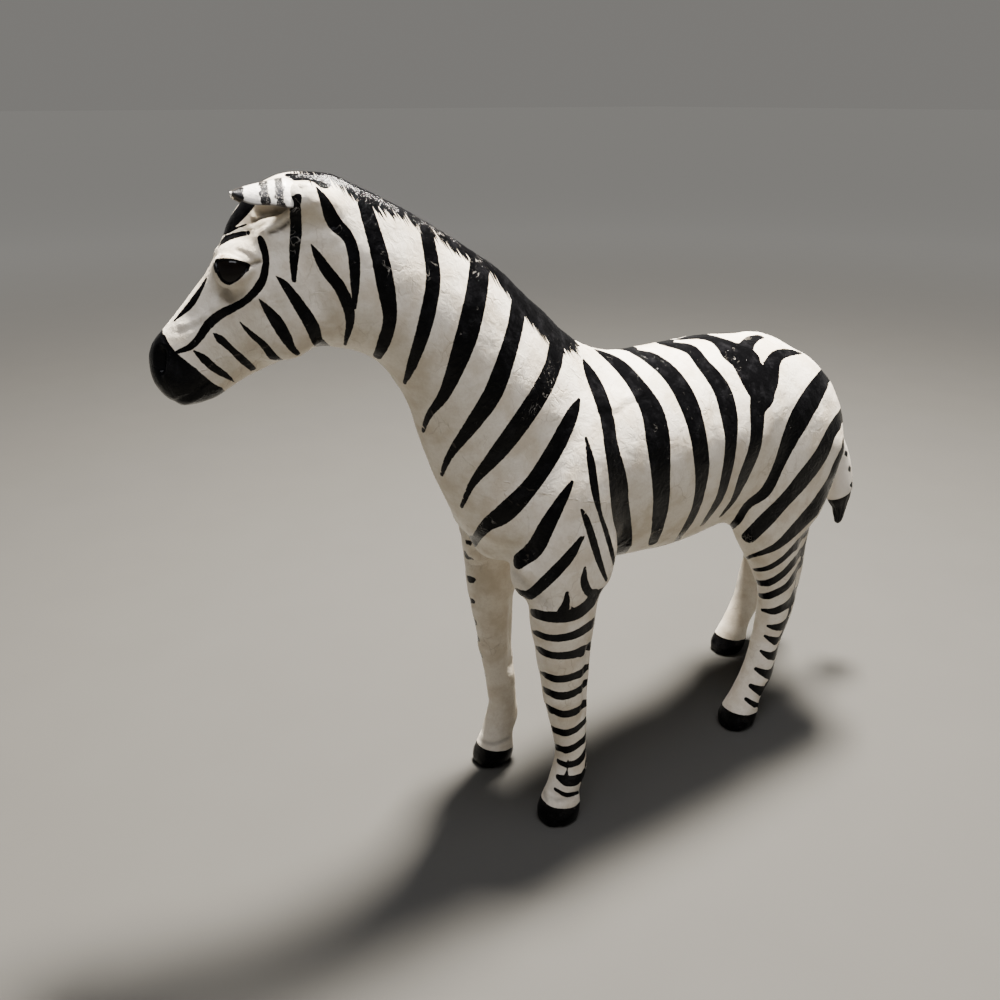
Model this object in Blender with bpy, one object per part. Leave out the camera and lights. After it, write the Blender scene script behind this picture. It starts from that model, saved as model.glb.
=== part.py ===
"""Standing zebra figurine: a leather-skinned body with glass eyes, leather ears and a leather tail."""

import math

import bmesh
import bpy
from mathutils import Matrix, Vector

# Driving dimensions in metres
HEIGHT = 0.320
EYE_DIAMETER = 0.0140
EAR_LENGTH = 0.0220
EAR_WIDTH = 0.0160
EAR_CURL_RADIUS = 0.0100
EAR_THICKNESS = 0.0016
EAR_ROOT_DEPTH = 0.0060
TAIL_SKIRT_LENGTH = 0.0900
TAIL_TUFT_LENGTH = 0.0170
TAIL_ROOT_RADIUS = 0.0045
TAIL_SKIRT_RADIUS = 0.0078
TAIL_TUFT_RADIUS = 0.0055
TAIL_TIP_RADIUS = 0.0022
TAIL_ROOT_DEPTH = 0.0080
SOCKET_CLEARANCE = 0.0003

# Working grid of the pose and the forms: 320 squares to the height, with its zero on the
# ground between the fore hooves. The figure faces -Y and its left side is +X.
GRID = HEIGHT / 320

# Fineness of the surface: rings of the lofts, voxels of the fused skin, facets that are left
SIDES = 36
STEPS = 4
VOXEL = 2 * GRID
BODY_TRIANGLES = 6500
EAR_ROWS = 10
EAR_COLUMNS = 8
TAIL_SIDES = 16
TAIL_SKIRT_ROWS = 8
TAIL_TUFT_ROWS = 4
TAIL_PATH_STEPS = 60

# Rounds that even out the skin, all over and where the trunk and the neck blend.
# The blend fades out from the head at a y and down the legs at a height.
SKIN_ROUNDS = 6
BLEND_ROUNDS = 40
BLEND_HEAD_Y = -100
BLEND_LEG_Z = 112
BLEND_FADE = 30

# The legs run on below the ground by this much, and the ground cuts them off flat
SOLE_DROP = 4

# Mid-plane rings, chest to rump: y, z, lean of the ring's up direction in degrees from +Y,
# reach up, reach down, half width, narrowing towards the top, narrowing towards the bottom
TRUNK = (
    (-37, 174, 90, 16, 16, 14, 0.0, 0.0),
    (-29, 176, 90, 36, 31, 24, 0.1, 0.1),
    (-9, 179, 90, 46, 41, 31, 0.2, 0.1),
    (14, 182, 90, 50, 50, 36, 0.3, 0.1),
    (38, 182, 90, 51, 55, 39, 0.2, 0.1),
    (68, 180, 90, 51, 57, 41, 0.1, 0.1),
    (98, 180, 90, 51, 58, 42, 0.1, 0.1),
    (128, 181, 90, 50, 54, 42, 0.1, 0.1),
    (154, 181, 90, 48, 39, 40, 0.0, 0.0),
    (178, 179, 90, 37.5, 34, 35, 0.0, 0.0),
    (196, 174, 90, 24, 25, 25, 0.0, 0.0),
    (204, 172, 90, 12, 13, 13, 0.0, 0.0),
)
NECK = (
    (26, 188, 64, 51, 46, 32, 0.3, 0.0),
    (6, 200, 54, 47, 57, 30, 0.4, 0.1),
    (-10, 212, 47, 45.5, 51, 27, 0.45, 0.15),
    (-27, 229, 45, 44, 39, 24, 0.5, 0.15),
    (-44, 247, 45, 42, 27, 21.5, 0.5, 0.15),
    (-60, 262, 49, 38.5, 23, 20, 0.5, 0.1),
    (-75, 273, 56, 36.5, 28, 19, 0.45, 0.1),
    (-86, 280, 72, 35.2, 31, 18.5, 0.35, 0.1),
    (-93, 283, 84, 37, 33, 17, 0.25, 0.1),
)
HEAD = (
    (-90, 283, 88, 35.5, 30, 15, 0.3, 0.2),
    (-99, 281, 103, 38, 30, 17, 0.15, 0.3),
    (-109, 276, 119, 33, 28, 17.5, 0.05, 0.4),
    (-117, 270, 128, 25, 26, 17.5, 0.0, 0.45),
    (-125, 263, 131, 22, 22, 15.5, 0.1, 0.4),
    (-134, 256, 131, 19.5, 18.5, 13, 0.15, 0.3),
    (-142, 249, 131, 18.5, 16, 11.5, 0.1, 0.1),
    (-149, 243, 131, 17.5, 14.5, 12, 0.0, 0.0),
    (-154.5, 238, 131, 12.5, 10.5, 10.5, 0.0, 0.0),
    (-157.5, 235.5, 131, 6.5, 5.5, 6.5, 0.0, 0.0),
)

# Level rings of a leg, top to sole: z, x, y, half width, half depth
FORE_LEG = (
    (222, 17, 24, 7, 11),
    (205, 22, 16, 12, 20),
    (185, 26, 9, 13.5, 24),
    (165, 28, 4, 14, 23.5),
    (146, 29, 2, 14, 23.5),
    (130, 29, -1, 13.5, 19.5),
    (112, 29, -1.5, 12.5, 17),
    (92, 29, 0, 11, 14.5),
    (76, 29, 1.5, 10, 12.5),
    (62, 29, 3, 9.2, 11),
    (48, 29, 4.5, 8.2, 9),
    (35, 29, 6, 8, 8.5),
    (26, 29, 5, 9, 9.8),
    (18, 29, 2, 8.4, 9.2),
    (11, 29, 0, 9.6, 10.8),
    (-SOLE_DROP, 29, -2, 10.4, 12),
)
HIND_LEG = (
    (217, 16, 157, 9, 19),
    (200, 22, 157, 16, 34),
    (178, 25, 157, 19.5, 43),
    (158, 26, 154, 19.5, 42),
    (140, 27, 151.5, 18, 35.5),
    (124, 28, 151, 15.5, 28.5),
    (108, 29, 155, 13, 22.5),
    (92, 30, 159.5, 11, 17.5),
    (78, 30, 161, 9.8, 14.5),
    (62, 30, 158, 8.8, 11.2),
    (46, 30, 153, 8.2, 9.6),
    (36, 30, 151, 8.4, 9.6),
    (28, 30, 148, 9, 10.3),
    (19, 30, 142, 8.6, 9.6),
    (12, 30, 138, 9.6, 10.6),
    (-SOLE_DROP, 30, 134, 10.2, 11.6),
)

# The right foreleg is slimmer between elbow and fetlock, and the right hind leg stands back
SLIM_FROM = 150
SLIM_TO = 40
SLIM_FADE = 22
SLIM_SHARE = 0.84
STRIDE_FROM = 205
STRIDE_TO = 85
STRIDE = 60

# The neck bends to the figure's right on an arc, and the head runs on straight from its end
NECK_TURN = 22
NECK_TURN_FROM = 0
NECK_TURN_LENGTH = 80

# Rounded bones and muscles of both sides: x, y, z, reach across, along and up, lean in degrees
SWELLINGS = {
    "jaw": (9.5, -108, 264, 8.5, 18, 15, 41),
    "eye_ring": (9.5, -124.5, 285, 9, 10, 8.5, 41),
    "ear_base": (8.5, -96, 305, 8.5, 12, 9, 20),
    "shoulder": (23, 6, 176, 12, 24, 28, 20),
    "haunch": (25.5, 154, 172, 18, 36, 38, -20),
}

# Places of the fitted pieces on the grid
EYE_CENTRE = (12, -126.5, 284.5)
EAR_SPINE_ROOT = (14.5, -103, 313.5)
EAR_SPINE_TIP = (15.5, -126, 311.5)
RIGHT_EAR_DROP = 4
EAR_FACING = 45
EAR_TAPER_POWER = 2.6
EAR_TIP_SHARE = 0.97
TAIL_START = (0, 197, 192)
TAIL_START_SLOPE = 40
TAIL_END_SLOPE = 93
TAIL_DRIFT = 11
TUFT_SHOULDER_SHARE = 0.06
TUFT_TAPER_POWER = 1.5


def smooth_stations(stations, steps):
    """Catmull-Rom curve through the stations, with the given steps between two of them."""
    ends = (stations[0],) + tuple(stations) + (stations[-1],)
    rows = []
    for before, start, end, after in zip(ends, ends[1:], ends[2:], ends[3:]):
        for step in range(steps):
            t = step / steps
            rows.append(tuple(
                0.5 * (2 * b + (c - a) * t + (2 * a - 5 * b + 4 * c - d) * t ** 2
                       + (3 * b - a - 3 * c + d) * t ** 3)
                for a, b, c, d in zip(before, start, end, after)))
    rows.append(tuple(stations[-1]))
    return rows


def ease(value):
    """Smooth step from 0 to 1."""
    value = min(max(value, 0), 1)
    return value * value * (3 - 2 * value)


def turned(x, y, z):
    """Place of a point of the straight figure once its neck bends to the right."""
    run = NECK_TURN_FROM - y
    if run <= 0:
        return x, y, z
    radius = NECK_TURN_LENGTH / math.radians(NECK_TURN)
    turn = min(run, NECK_TURN_LENGTH) / radius
    straight = max(run - NECK_TURN_LENGTH, 0)
    across = radius * (1 - math.cos(turn)) + straight * math.sin(turn)
    along = radius * math.sin(turn) + straight * math.cos(turn)
    return x * math.cos(turn) - across, NECK_TURN_FROM - along - x * math.sin(turn), z


def mid_plane_ring(y, z, lean, up, down, half_width, top_pinch, bottom_pinch):
    """Egg-shaped ring across the mid-plane, leaning in it."""
    slope = math.radians(lean)
    ring = []
    for i in range(SIDES):
        turn = 2 * math.pi * i / SIDES
        rise = math.cos(turn) * (up if math.cos(turn) > 0 else down)
        pinch = top_pinch if math.cos(turn) > 0 else bottom_pinch
        side = half_width * math.sin(turn) * (1 - pinch * math.cos(turn) ** 2)
        ring.append((side, y + rise * math.cos(slope), z + rise * math.sin(slope)))
    return ring


def leg_rings(stations, side, stride=0, slim_share=1):
    """Level rings of one leg: side is +1 left or -1 right, stride sets it back below the hip."""
    turns = [2 * math.pi * i / SIDES for i in range(SIDES)]
    rings = []
    for z, x, y, half_width, half_depth in smooth_stations(stations, STEPS):
        back = y + stride * ease((STRIDE_FROM - z) / (STRIDE_FROM - STRIDE_TO))
        slimmed = ease((SLIM_FROM - z) / SLIM_FADE) * ease((z - SLIM_TO) / SLIM_FADE)
        slim = 1 - (1 - slim_share) * slimmed
        rings.append([(side * x + half_width * slim * math.cos(turn),
                       back + half_depth * slim * math.sin(turn), z) for turn in turns])
    return rings


def on_grid(rings):
    """Rings in grid squares, as metres."""
    return [[Vector(point) * GRID for point in ring] for ring in rings]


def add_loft(mesh, rings):
    """Adds a closed skin over the rings, which are in metres."""
    rows = [[mesh.verts.new(point) for point in ring] for ring in rings]
    for low, high in zip(rows, rows[1:]):
        for i, corner in enumerate(low):
            j = (i + 1) % len(low)
            mesh.faces.new((corner, low[j], high[j], high[i]))
    mesh.faces.new(rows[0][::-1])
    mesh.faces.new(rows[-1])


def add_swelling(mesh, x, y, z, across, along, up, lean):
    """Adds one ellipsoid, which follows the turn of the neck and the head."""
    heading = NECK_TURN * min(max((NECK_TURN_FROM - y) / NECK_TURN_LENGTH, 0), 1)
    place = Matrix.Translation(Vector(turned(x, y, z)) * GRID)
    place = place @ Matrix.Rotation(math.radians(-heading), 4, "Z")
    place = place @ Matrix.Rotation(math.radians(lean), 4, "X")
    place = place @ Matrix.Diagonal((across * GRID, along * GRID, up * GRID, 1))
    bmesh.ops.create_uvsphere(mesh, u_segments=24, v_segments=16, radius=1, matrix=place)


def new_object(name, mesh, material=None):
    """Turns a bmesh into a named object with its material."""
    bmesh.ops.recalc_face_normals(mesh, faces=mesh.faces)
    data = bpy.data.meshes.new(name)
    mesh.to_mesh(data)
    mesh.free()
    if material:
        data.materials.append(material)
    thing = bpy.data.objects.new(name, data)
    bpy.context.scene.collection.objects.link(thing)
    return thing


def freeze(thing):
    """Replaces an object's mesh by its evaluated one and drops its modifiers."""
    bpy.context.view_layer.update()
    shape = thing.evaluated_get(bpy.context.evaluated_depsgraph_get())
    data = bpy.data.meshes.new_from_object(shape)
    thing.modifiers.clear()
    thing.data = data


def cut_out(thing, cutter):
    """Cuts a hidden cutter out of an object."""
    cutter.hide_render = True
    cutter.display_type = "WIRE"
    cut = thing.modifiers.new(cutter.name, "BOOLEAN")
    cut.operation = "DIFFERENCE"
    cut.object = cutter


def principled(name, colour, roughness):
    """Material with the part's colour and roughness."""
    material = bpy.data.materials.new(name)
    material.use_nodes = True
    shader = material.node_tree.nodes["Principled BSDF"]
    shader.inputs["Base Color"].default_value = (*colour, 1)
    shader.inputs["Roughness"].default_value = roughness
    return material


def add_smooth(thing, rounds, group=""):
    """Evens out a skin, over the vertex group only where one is named."""
    smooth = thing.modifiers.new("smooth", "SMOOTH")
    smooth.factor = 0.5
    smooth.iterations = rounds
    smooth.vertex_group = group


def weigh_blend(body):
    """Vertex group that is full on the trunk and the neck, and fades into legs and head."""
    group = body.vertex_groups.new(name="blend")
    for corner in body.data.vertices:
        y, z = corner.co.y / GRID, corner.co.z / GRID
        above_legs = ease((z - BLEND_LEG_Z) / BLEND_FADE)
        behind_head = ease((y - BLEND_HEAD_Y) / BLEND_FADE)
        group.add([corner.index], above_legs * behind_head, "REPLACE")


def make_body(material):
    """Trunk, neck, head and legs fused into one skin, then thinned to flat facets."""
    mesh = bmesh.new()
    add_loft(mesh, on_grid([mid_plane_ring(*row) for row in smooth_stations(TRUNK, STEPS)]))
    for stations in (NECK, HEAD):
        rings = [mid_plane_ring(*row) for row in smooth_stations(stations, STEPS)]
        add_loft(mesh, on_grid([[turned(*point) for point in ring] for ring in rings]))
    add_loft(mesh, on_grid(leg_rings(FORE_LEG, 1)))
    add_loft(mesh, on_grid(leg_rings(FORE_LEG, -1, slim_share=SLIM_SHARE)))
    add_loft(mesh, on_grid(leg_rings(HIND_LEG, 1)))
    add_loft(mesh, on_grid(leg_rings(HIND_LEG, -1, stride=STRIDE)))
    for x, y, z, across, along, up, lean in SWELLINGS.values():
        for side in (1, -1):
            add_swelling(mesh, side * x, y, z, across, along, up, lean)
    body = new_object("body", mesh, material)
    remesh = body.modifiers.new("one_skin", "REMESH")
    remesh.mode = "VOXEL"
    remesh.voxel_size = VOXEL
    freeze(body)
    weigh_blend(body)
    add_smooth(body, SKIN_ROUNDS)
    add_smooth(body, BLEND_ROUNDS, "blend")
    freeze(body)
    thin = body.modifiers.new("facets", "DECIMATE")
    thin.ratio = BODY_TRIANGLES / sum(len(face.vertices) - 2 for face in body.data.polygons)
    freeze(body)
    return body


def make_ground_cutter():
    """Block below the ground, which cuts the soles flat."""
    mesh = bmesh.new()
    bmesh.ops.create_cube(mesh, size=1)
    block = new_object("sole_cutter", mesh)
    block.scale = (HEIGHT, 2 * HEIGHT, HEIGHT)
    block.location = (0, 0, -HEIGHT / 2)
    return block


def make_eye(name, side, radius, material=None):
    """Ball of one eye, or of its socket."""
    mesh = bmesh.new()
    x, y, z = EYE_CENTRE
    bmesh.ops.create_uvsphere(mesh, u_segments=16, v_segments=10, radius=radius)
    eye = new_object(name, mesh, material)
    eye.location = Vector(turned(side * x, y, z)) * GRID
    eye.rotation_euler = (0, math.radians(90), math.radians(-NECK_TURN))
    return eye


def make_ear(name, side, grow, material=None):
    """Leaf of one ear, curled around its length, grown on all sides for its slot."""
    root = Vector(EAR_SPINE_ROOT) * GRID
    run = (Vector(EAR_SPINE_TIP) * GRID - root).normalized()
    curl = EAR_CURL_RADIUS
    mid = math.radians(EAR_FACING)
    drop = RIGHT_EAR_DROP if side < 0 else 0
    rings = []
    for row in range(EAR_ROWS + 1):
        whole = EAR_LENGTH + EAR_ROOT_DEPTH + 2 * grow
        reach = whole * row / EAR_ROWS - EAR_ROOT_DEPTH - grow
        share = min(max(reach / EAR_LENGTH, 0), EAR_TIP_SHARE)
        half = EAR_WIDTH / 2 * (1 - share ** EAR_TAPER_POWER) + grow
        spine = root + run * reach
        spread = [2 * column / EAR_COLUMNS - 1 for column in range(EAR_COLUMNS + 1)]
        arc = [mid + place * half / curl for place in spread]
        outer, inner = curl + EAR_THICKNESS / 2 + grow, curl - EAR_THICKNESS / 2 - grow
        loop = [(outer, turn) for turn in arc] + [(inner, turn) for turn in reversed(arc)]
        ring = []
        for radius, turn in loop:
            x = spine.x + radius * math.cos(turn) - curl * math.cos(mid)
            z = spine.z + radius * math.sin(turn) - curl * math.sin(mid)
            place = turned(side * x / GRID, spine.y / GRID, z / GRID - drop)
            ring.append(Vector(place) * GRID)
        rings.append(ring)
    mesh = bmesh.new()
    add_loft(mesh, rings)
    return new_object(name, mesh, material)


def tail_path(reach):
    """Point of the tail's middle line and its slope, at a reach from the rump's skin."""
    whole = TAIL_SKIRT_LENGTH + TAIL_TUFT_LENGTH
    step = whole / TAIL_PATH_STEPS
    point = Vector(TAIL_START) * GRID
    slope = math.radians(TAIL_START_SLOPE)
    back = Vector((0, math.cos(slope), -math.sin(slope)))
    if reach <= 0:
        return point + back * reach, back
    done = 0
    while done < reach:
        length = min(step, reach - done)
        share = ease((done + length / 2) / whole)
        slope = math.radians(TAIL_START_SLOPE + (TAIL_END_SLOPE - TAIL_START_SLOPE) * share)
        back = Vector((0, math.cos(slope), -math.sin(slope)))
        point = point + back * length
        done += length
    drift = Vector((TAIL_DRIFT * GRID * ease(reach / whole), 0, 0))
    return point + drift, back


def make_tail(name, grow, material=None):
    """Leather skirt and tuft of the tail as one turned form along its path."""
    stations = [(-TAIL_ROOT_DEPTH - grow, TAIL_ROOT_RADIUS), (0, TAIL_ROOT_RADIUS)]
    for row in range(1, TAIL_SKIRT_ROWS + 1):
        share = row / TAIL_SKIRT_ROWS
        radius = TAIL_ROOT_RADIUS + (TAIL_SKIRT_RADIUS - TAIL_ROOT_RADIUS) * ease(share)
        stations.append((TAIL_SKIRT_LENGTH * share, radius))
    shoulder = TAIL_SKIRT_LENGTH + TUFT_SHOULDER_SHARE * TAIL_TUFT_LENGTH
    tip = TAIL_SKIRT_LENGTH + TAIL_TUFT_LENGTH + grow
    for row in range(TAIL_TUFT_ROWS + 1):
        share = row / TAIL_TUFT_ROWS
        radius = TAIL_TUFT_RADIUS + (TAIL_TIP_RADIUS - TAIL_TUFT_RADIUS) * share ** TUFT_TAPER_POWER
        stations.append((shoulder + (tip - shoulder) * share, radius))
    turns = [2 * math.pi * i / TAIL_SIDES for i in range(TAIL_SIDES)]
    rings = []
    for reach, radius in stations:
        centre, back = tail_path(reach)
        across = Vector((1, 0, 0))
        up = back.cross(across)
        rings.append([centre + (across * math.cos(turn) + up * math.sin(turn)) * (radius + grow)
                      for turn in turns])
    mesh = bmesh.new()
    add_loft(mesh, rings)
    return new_object(name, mesh, material)


def centre_on_ground(things):
    """Hangs all things on one empty, so that the figure's box stands centred on the origin."""
    bpy.context.view_layer.update()
    deps = bpy.context.evaluated_depsgraph_get()
    corners = []
    for thing in things:
        if not thing.hide_render:
            shape = thing.evaluated_get(deps)
            corners += [shape.matrix_world @ corner.co for corner in shape.data.vertices]
    middle_x = (min(point.x for point in corners) + max(point.x for point in corners)) / 2
    middle_y = (min(point.y for point in corners) + max(point.y for point in corners)) / 2
    figure = bpy.data.objects.new("figure", None)
    bpy.context.scene.collection.objects.link(figure)
    for thing in things:
        thing.parent = figure
    figure.location = (-middle_x, -middle_y, 0)
    bpy.context.view_layer.update()


def main():
    """Builds the figure."""
    for thing in list(bpy.data.objects):
        bpy.data.objects.remove(thing)
    skin = principled("painted_leather", (0.85, 0.81, 0.74), 0.25)
    glass = principled("black_glass", (0.01, 0.01, 0.012), 0.03)
    ear_leather = principled("ear_leather", (0.86, 0.83, 0.78), 0.30)
    tail_leather = principled("tail_leather", (0.70, 0.67, 0.62), 0.35)
    body = make_body(skin)
    cut_out(body, make_ground_cutter())
    gap = SOCKET_CLEARANCE
    for name, side in (("left", 1), ("right", -1)):
        make_eye("eye_" + name, side, EYE_DIAMETER / 2, glass)
        cut_out(body, make_eye("eye_socket_" + name, side, EYE_DIAMETER / 2 + gap))
        make_ear("ear_" + name, side, 0, ear_leather)
        cut_out(body, make_ear("ear_slot_" + name, side, gap))
    make_tail("tail", 0, tail_leather)
    cut_out(body, make_tail("tail_socket", gap))
    centre_on_ground(list(bpy.data.objects))


main()
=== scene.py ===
"""A standing zebra figurine: painted leather skin, glass eyes, leather ears and a leather tail."""
import math

import bpy
import numpy as np
from mathutils import Matrix, Vector, noise
from mathutils.bvhtree import BVHTree


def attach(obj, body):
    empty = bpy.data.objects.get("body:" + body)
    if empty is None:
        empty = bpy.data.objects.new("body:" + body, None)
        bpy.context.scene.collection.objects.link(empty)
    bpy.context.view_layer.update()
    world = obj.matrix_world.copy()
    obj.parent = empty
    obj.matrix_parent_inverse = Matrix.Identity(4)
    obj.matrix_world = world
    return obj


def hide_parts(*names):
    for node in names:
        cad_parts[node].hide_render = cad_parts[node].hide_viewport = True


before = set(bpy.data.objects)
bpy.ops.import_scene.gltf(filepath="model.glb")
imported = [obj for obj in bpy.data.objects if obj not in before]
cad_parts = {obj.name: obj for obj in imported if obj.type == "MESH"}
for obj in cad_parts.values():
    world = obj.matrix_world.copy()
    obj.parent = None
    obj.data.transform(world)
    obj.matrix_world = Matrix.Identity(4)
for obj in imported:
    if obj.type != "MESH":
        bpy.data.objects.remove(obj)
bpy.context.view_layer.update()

MM = 0.001

# The photograph's camera: place in metres, heading and pitch, focal length in pixels of 1000
IMAGE = 1000
FOCAL = 964
CAMERA_PLACE = Vector((0.3366, -0.3081, 0.3442))
CAMERA_HEADING = math.radians(53.57)
CAMERA_PITCH = math.radians(22.67)
SENSOR = 36

# The figure's own grid in millimetres has its zero on the ground between the fore hooves, and
# the middle of the figure's box lies this far from it. The neck bends to the figure's right.
GRID_SHIFT = np.array((3.964, -45.266, 0.0))
NECK_TURN = math.radians(22)
NECK_LENGTH = 80
NECK_RADIUS = NECK_LENGTH / NECK_TURN

# Fineness of the skin in millimetres, and how much fuller than a fitted piece its closed socket is
SKIN_VOXEL = 2.1
SKIN_ROUNDS = 5
LEG_TOP = 112
HEAD_BACK = -78
EYE_SPREAD = 6
MERGE = 0.01
SOCKET_FILL = 0.5
TAIL_FILL = 2
TAIL_FILL_SHIFT = 4

# Fitted pieces and the fillers of the ear's base and the breast, on the straight grid in millimetres
EYE_CENTRE = (12, -126.5, 284.5)
EYE_RADIUS = 7
EAR_ROOT = (14.5, -103, 313.5)
EAR_TIP = (15.5, -126, 311.5)
RIGHT_EAR_DROP = 4
EAR_BASE = (11.5, -98, 308.5)
EAR_BASE_REACH = (7.5, 8.5, 8.0)
BREAST = (21.5, -14.6, 145)
BREAST_REACH = (9.0, 10.0, 16.0)


# Geometry of the photograph and of the bent neck

def camera_axes():
    """Right, up and forward of the photograph's camera."""
    right = Vector((math.cos(CAMERA_HEADING), math.sin(CAMERA_HEADING), 0))
    level = Vector((-math.sin(CAMERA_HEADING), math.cos(CAMERA_HEADING), 0))
    forward = level * math.cos(CAMERA_PITCH) - Vector((0, 0, math.sin(CAMERA_PITCH)))
    return right, right.cross(forward), forward


def pixel_ray(x, y):
    """Direction from the camera through a pixel of the photograph."""
    right, up, forward = camera_axes()
    return (forward + right * ((x - IMAGE / 2) / FOCAL) - up * ((y - IMAGE / 2) / FOCAL)).normalized()


def straighten(places):
    """Places in metres, as millimetres on the grid of the figure with a straight neck."""
    grid = np.asarray(places) / MM - GRID_SHIFT
    across, along = grid[:, 0] + NECK_RADIUS, grid[:, 1]
    turn = np.clip(np.arctan2(-along, across), 0, NECK_TURN)
    x = across * np.cos(turn) - along * np.sin(turn) - NECK_RADIUS
    run = NECK_RADIUS * turn - across * np.sin(turn) - along * np.cos(turn)
    return np.stack((x, -run, grid[:, 2]), 1)


def bend(grid):
    """Millimetres on the straight grid, as places in metres with the neck turned."""
    grid = np.atleast_2d(np.asarray(grid, float))
    run = -grid[:, 1]
    turn = np.clip(run / NECK_RADIUS, 0, NECK_TURN)
    straight = run - turn * NECK_RADIUS
    across = grid[:, 0] + NECK_RADIUS
    x = across * np.cos(turn) - straight * np.sin(turn) - NECK_RADIUS
    y = -across * np.sin(turn) - straight * np.cos(turn)
    return (np.stack((x, y, grid[:, 2]), 1) + GRID_SHIFT) * MM


def ease(value):
    """Smooth step from 0 to 1."""
    value = np.clip(value, 0, 1)
    return value * value * (3 - 2 * value)


# Tools for modelling

def only(*things):
    """Selects these objects alone and makes the first one active."""
    bpy.ops.object.select_all(action="DESELECT")
    for thing in things:
        thing.select_set(True)
    bpy.context.view_layer.objects.active = things[0]


def finish_modifier(thing, kind, **settings):
    """Adds a modifier with its settings and applies it."""
    only(thing)
    modifier = thing.modifiers.new(kind.lower(), kind)
    for name, value in settings.items():
        setattr(modifier, name, value)
    bpy.ops.object.modifier_apply(modifier=modifier.name)


def places_of(thing):
    """Corners of an object's mesh, in metres."""
    places = np.empty(len(thing.data.vertices) * 3, np.float32)
    thing.data.vertices.foreach_get("co", places)
    return places.reshape(-1, 3).astype(float)


def normals_of(thing):
    """Directions of the mesh's corners."""
    normals = np.empty(len(thing.data.vertices) * 3, np.float32)
    thing.data.vertices.foreach_get("normal", normals)
    return normals.reshape(-1, 3).astype(float)


def move_to(thing, places):
    """Moves the corners of an object's mesh."""
    thing.data.vertices.foreach_set("co", np.asarray(places, np.float32).ravel())
    thing.data.update()


def keep_value(thing, name, values):
    """Stores one number for each corner, for the material to read."""
    layer = thing.data.attributes.new(name, "FLOAT", "POINT")
    layer.data.foreach_set("value", np.asarray(values, np.float32))


def refine(thing, wanted, rounds=1):
    """Halves the faces whose corners are all wanted, and evens the new ones out."""
    only(thing)
    mesh = thing.data
    for chosen in (mesh.vertices, mesh.edges, mesh.polygons):
        chosen.foreach_set("select", np.zeros(len(chosen), bool))
    mesh.vertices.foreach_set("select", wanted(places_of(thing)))
    bpy.ops.object.mode_set(mode="EDIT")
    bpy.ops.mesh.select_mode(type="VERT")
    bpy.ops.mesh.select_mode(type="FACE")
    bpy.ops.mesh.subdivide(number_cuts=1, smoothness=0)
    if rounds:
        bpy.ops.mesh.vertices_smooth(factor=0.5, repeat=rounds)
    bpy.ops.object.mode_set(mode="OBJECT")


def add_ball(place, reach):
    """A ball or egg of the given reach along each axis, in metres."""
    bpy.ops.object.select_all(action="DESELECT")
    bpy.ops.mesh.primitive_uv_sphere_add(segments=32, ring_count=20, radius=1, location=place, scale=reach)
    bpy.ops.object.transform_apply(location=True, rotation=True, scale=True)
    return bpy.context.object


# The skin's shape

def fine_part(grid):
    """True for the corners of the head and the legs."""
    return (grid[:, 1] < HEAD_BACK) | (grid[:, 2] < LEG_TOP)


def eye_part(grid):
    """True for the corners round the two eyes."""
    away = np.stack((np.abs(grid[:, 0]), grid[:, 1], grid[:, 2])) - np.array(EYE_CENTRE)[:, None]
    return np.linalg.norm(away, axis=0) < EYE_RADIUS + EYE_SPREAD


def make_skin():
    """The solid body as one even, finely divided skin, with the sockets of the fitted pieces closed."""
    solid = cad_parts["body"]
    only(solid)
    bpy.ops.object.duplicate()
    skin = bpy.context.object
    skin.name = "leather_skin"
    bpy.ops.object.mode_set(mode="EDIT")
    bpy.ops.mesh.select_all(action="SELECT")
    bpy.ops.mesh.remove_doubles(threshold=MERGE * MM)
    bpy.ops.mesh.subdivide(number_cuts=1, smoothness=1)
    bpy.ops.object.mode_set(mode="OBJECT")
    places = places_of(skin)
    places[:, 2] = np.maximum(places[:, 2], 0)
    move_to(skin, places)
    fillers = []
    for side in (1, -1):
        x, y, z = EYE_CENTRE
        ball = [(EYE_RADIUS + SOCKET_FILL) * MM] * 3
        fillers.append(add_ball(Vector(bend((side * x, y, z))[0]), ball))
        x, y, z = EAR_BASE
        z -= RIGHT_EAR_DROP if side < 0 else 0
        fillers.append(add_ball(Vector(bend((side * x, y, z))[0]), [reach * MM for reach in EAR_BASE_REACH]))
        x, y, z = BREAST
        fillers.append(add_ball(Vector(bend((side * x, y, z))[0]), [reach * MM for reach in BREAST_REACH]))
    root = (Vector(GRID_SHIFT) + TAIL_START) * MM + Vector((0, -TAIL_FILL_SHIFT * MM, 0))
    fillers.append(add_ball(root, [(TAIL_ROOT_RADIUS + TAIL_FILL) * MM] * 3))
    only(skin, *fillers)
    bpy.ops.object.join()
    finish_modifier(skin, "REMESH", mode="VOXEL", voxel_size=SKIN_VOXEL * MM)
    finish_modifier(skin, "SMOOTH", factor=0.5, iterations=SKIN_ROUNDS)
    refine(skin, lambda places: fine_part(straighten(places)), 2)
    refine(skin, lambda places: eye_part(straighten(places)), 2)
    return skin


# The painted pattern. Each stripe is a brush stroke through pixels of the photograph: x, y and the
# stroke's width there in pixels. The other side gets the same strokes mirrored.

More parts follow.
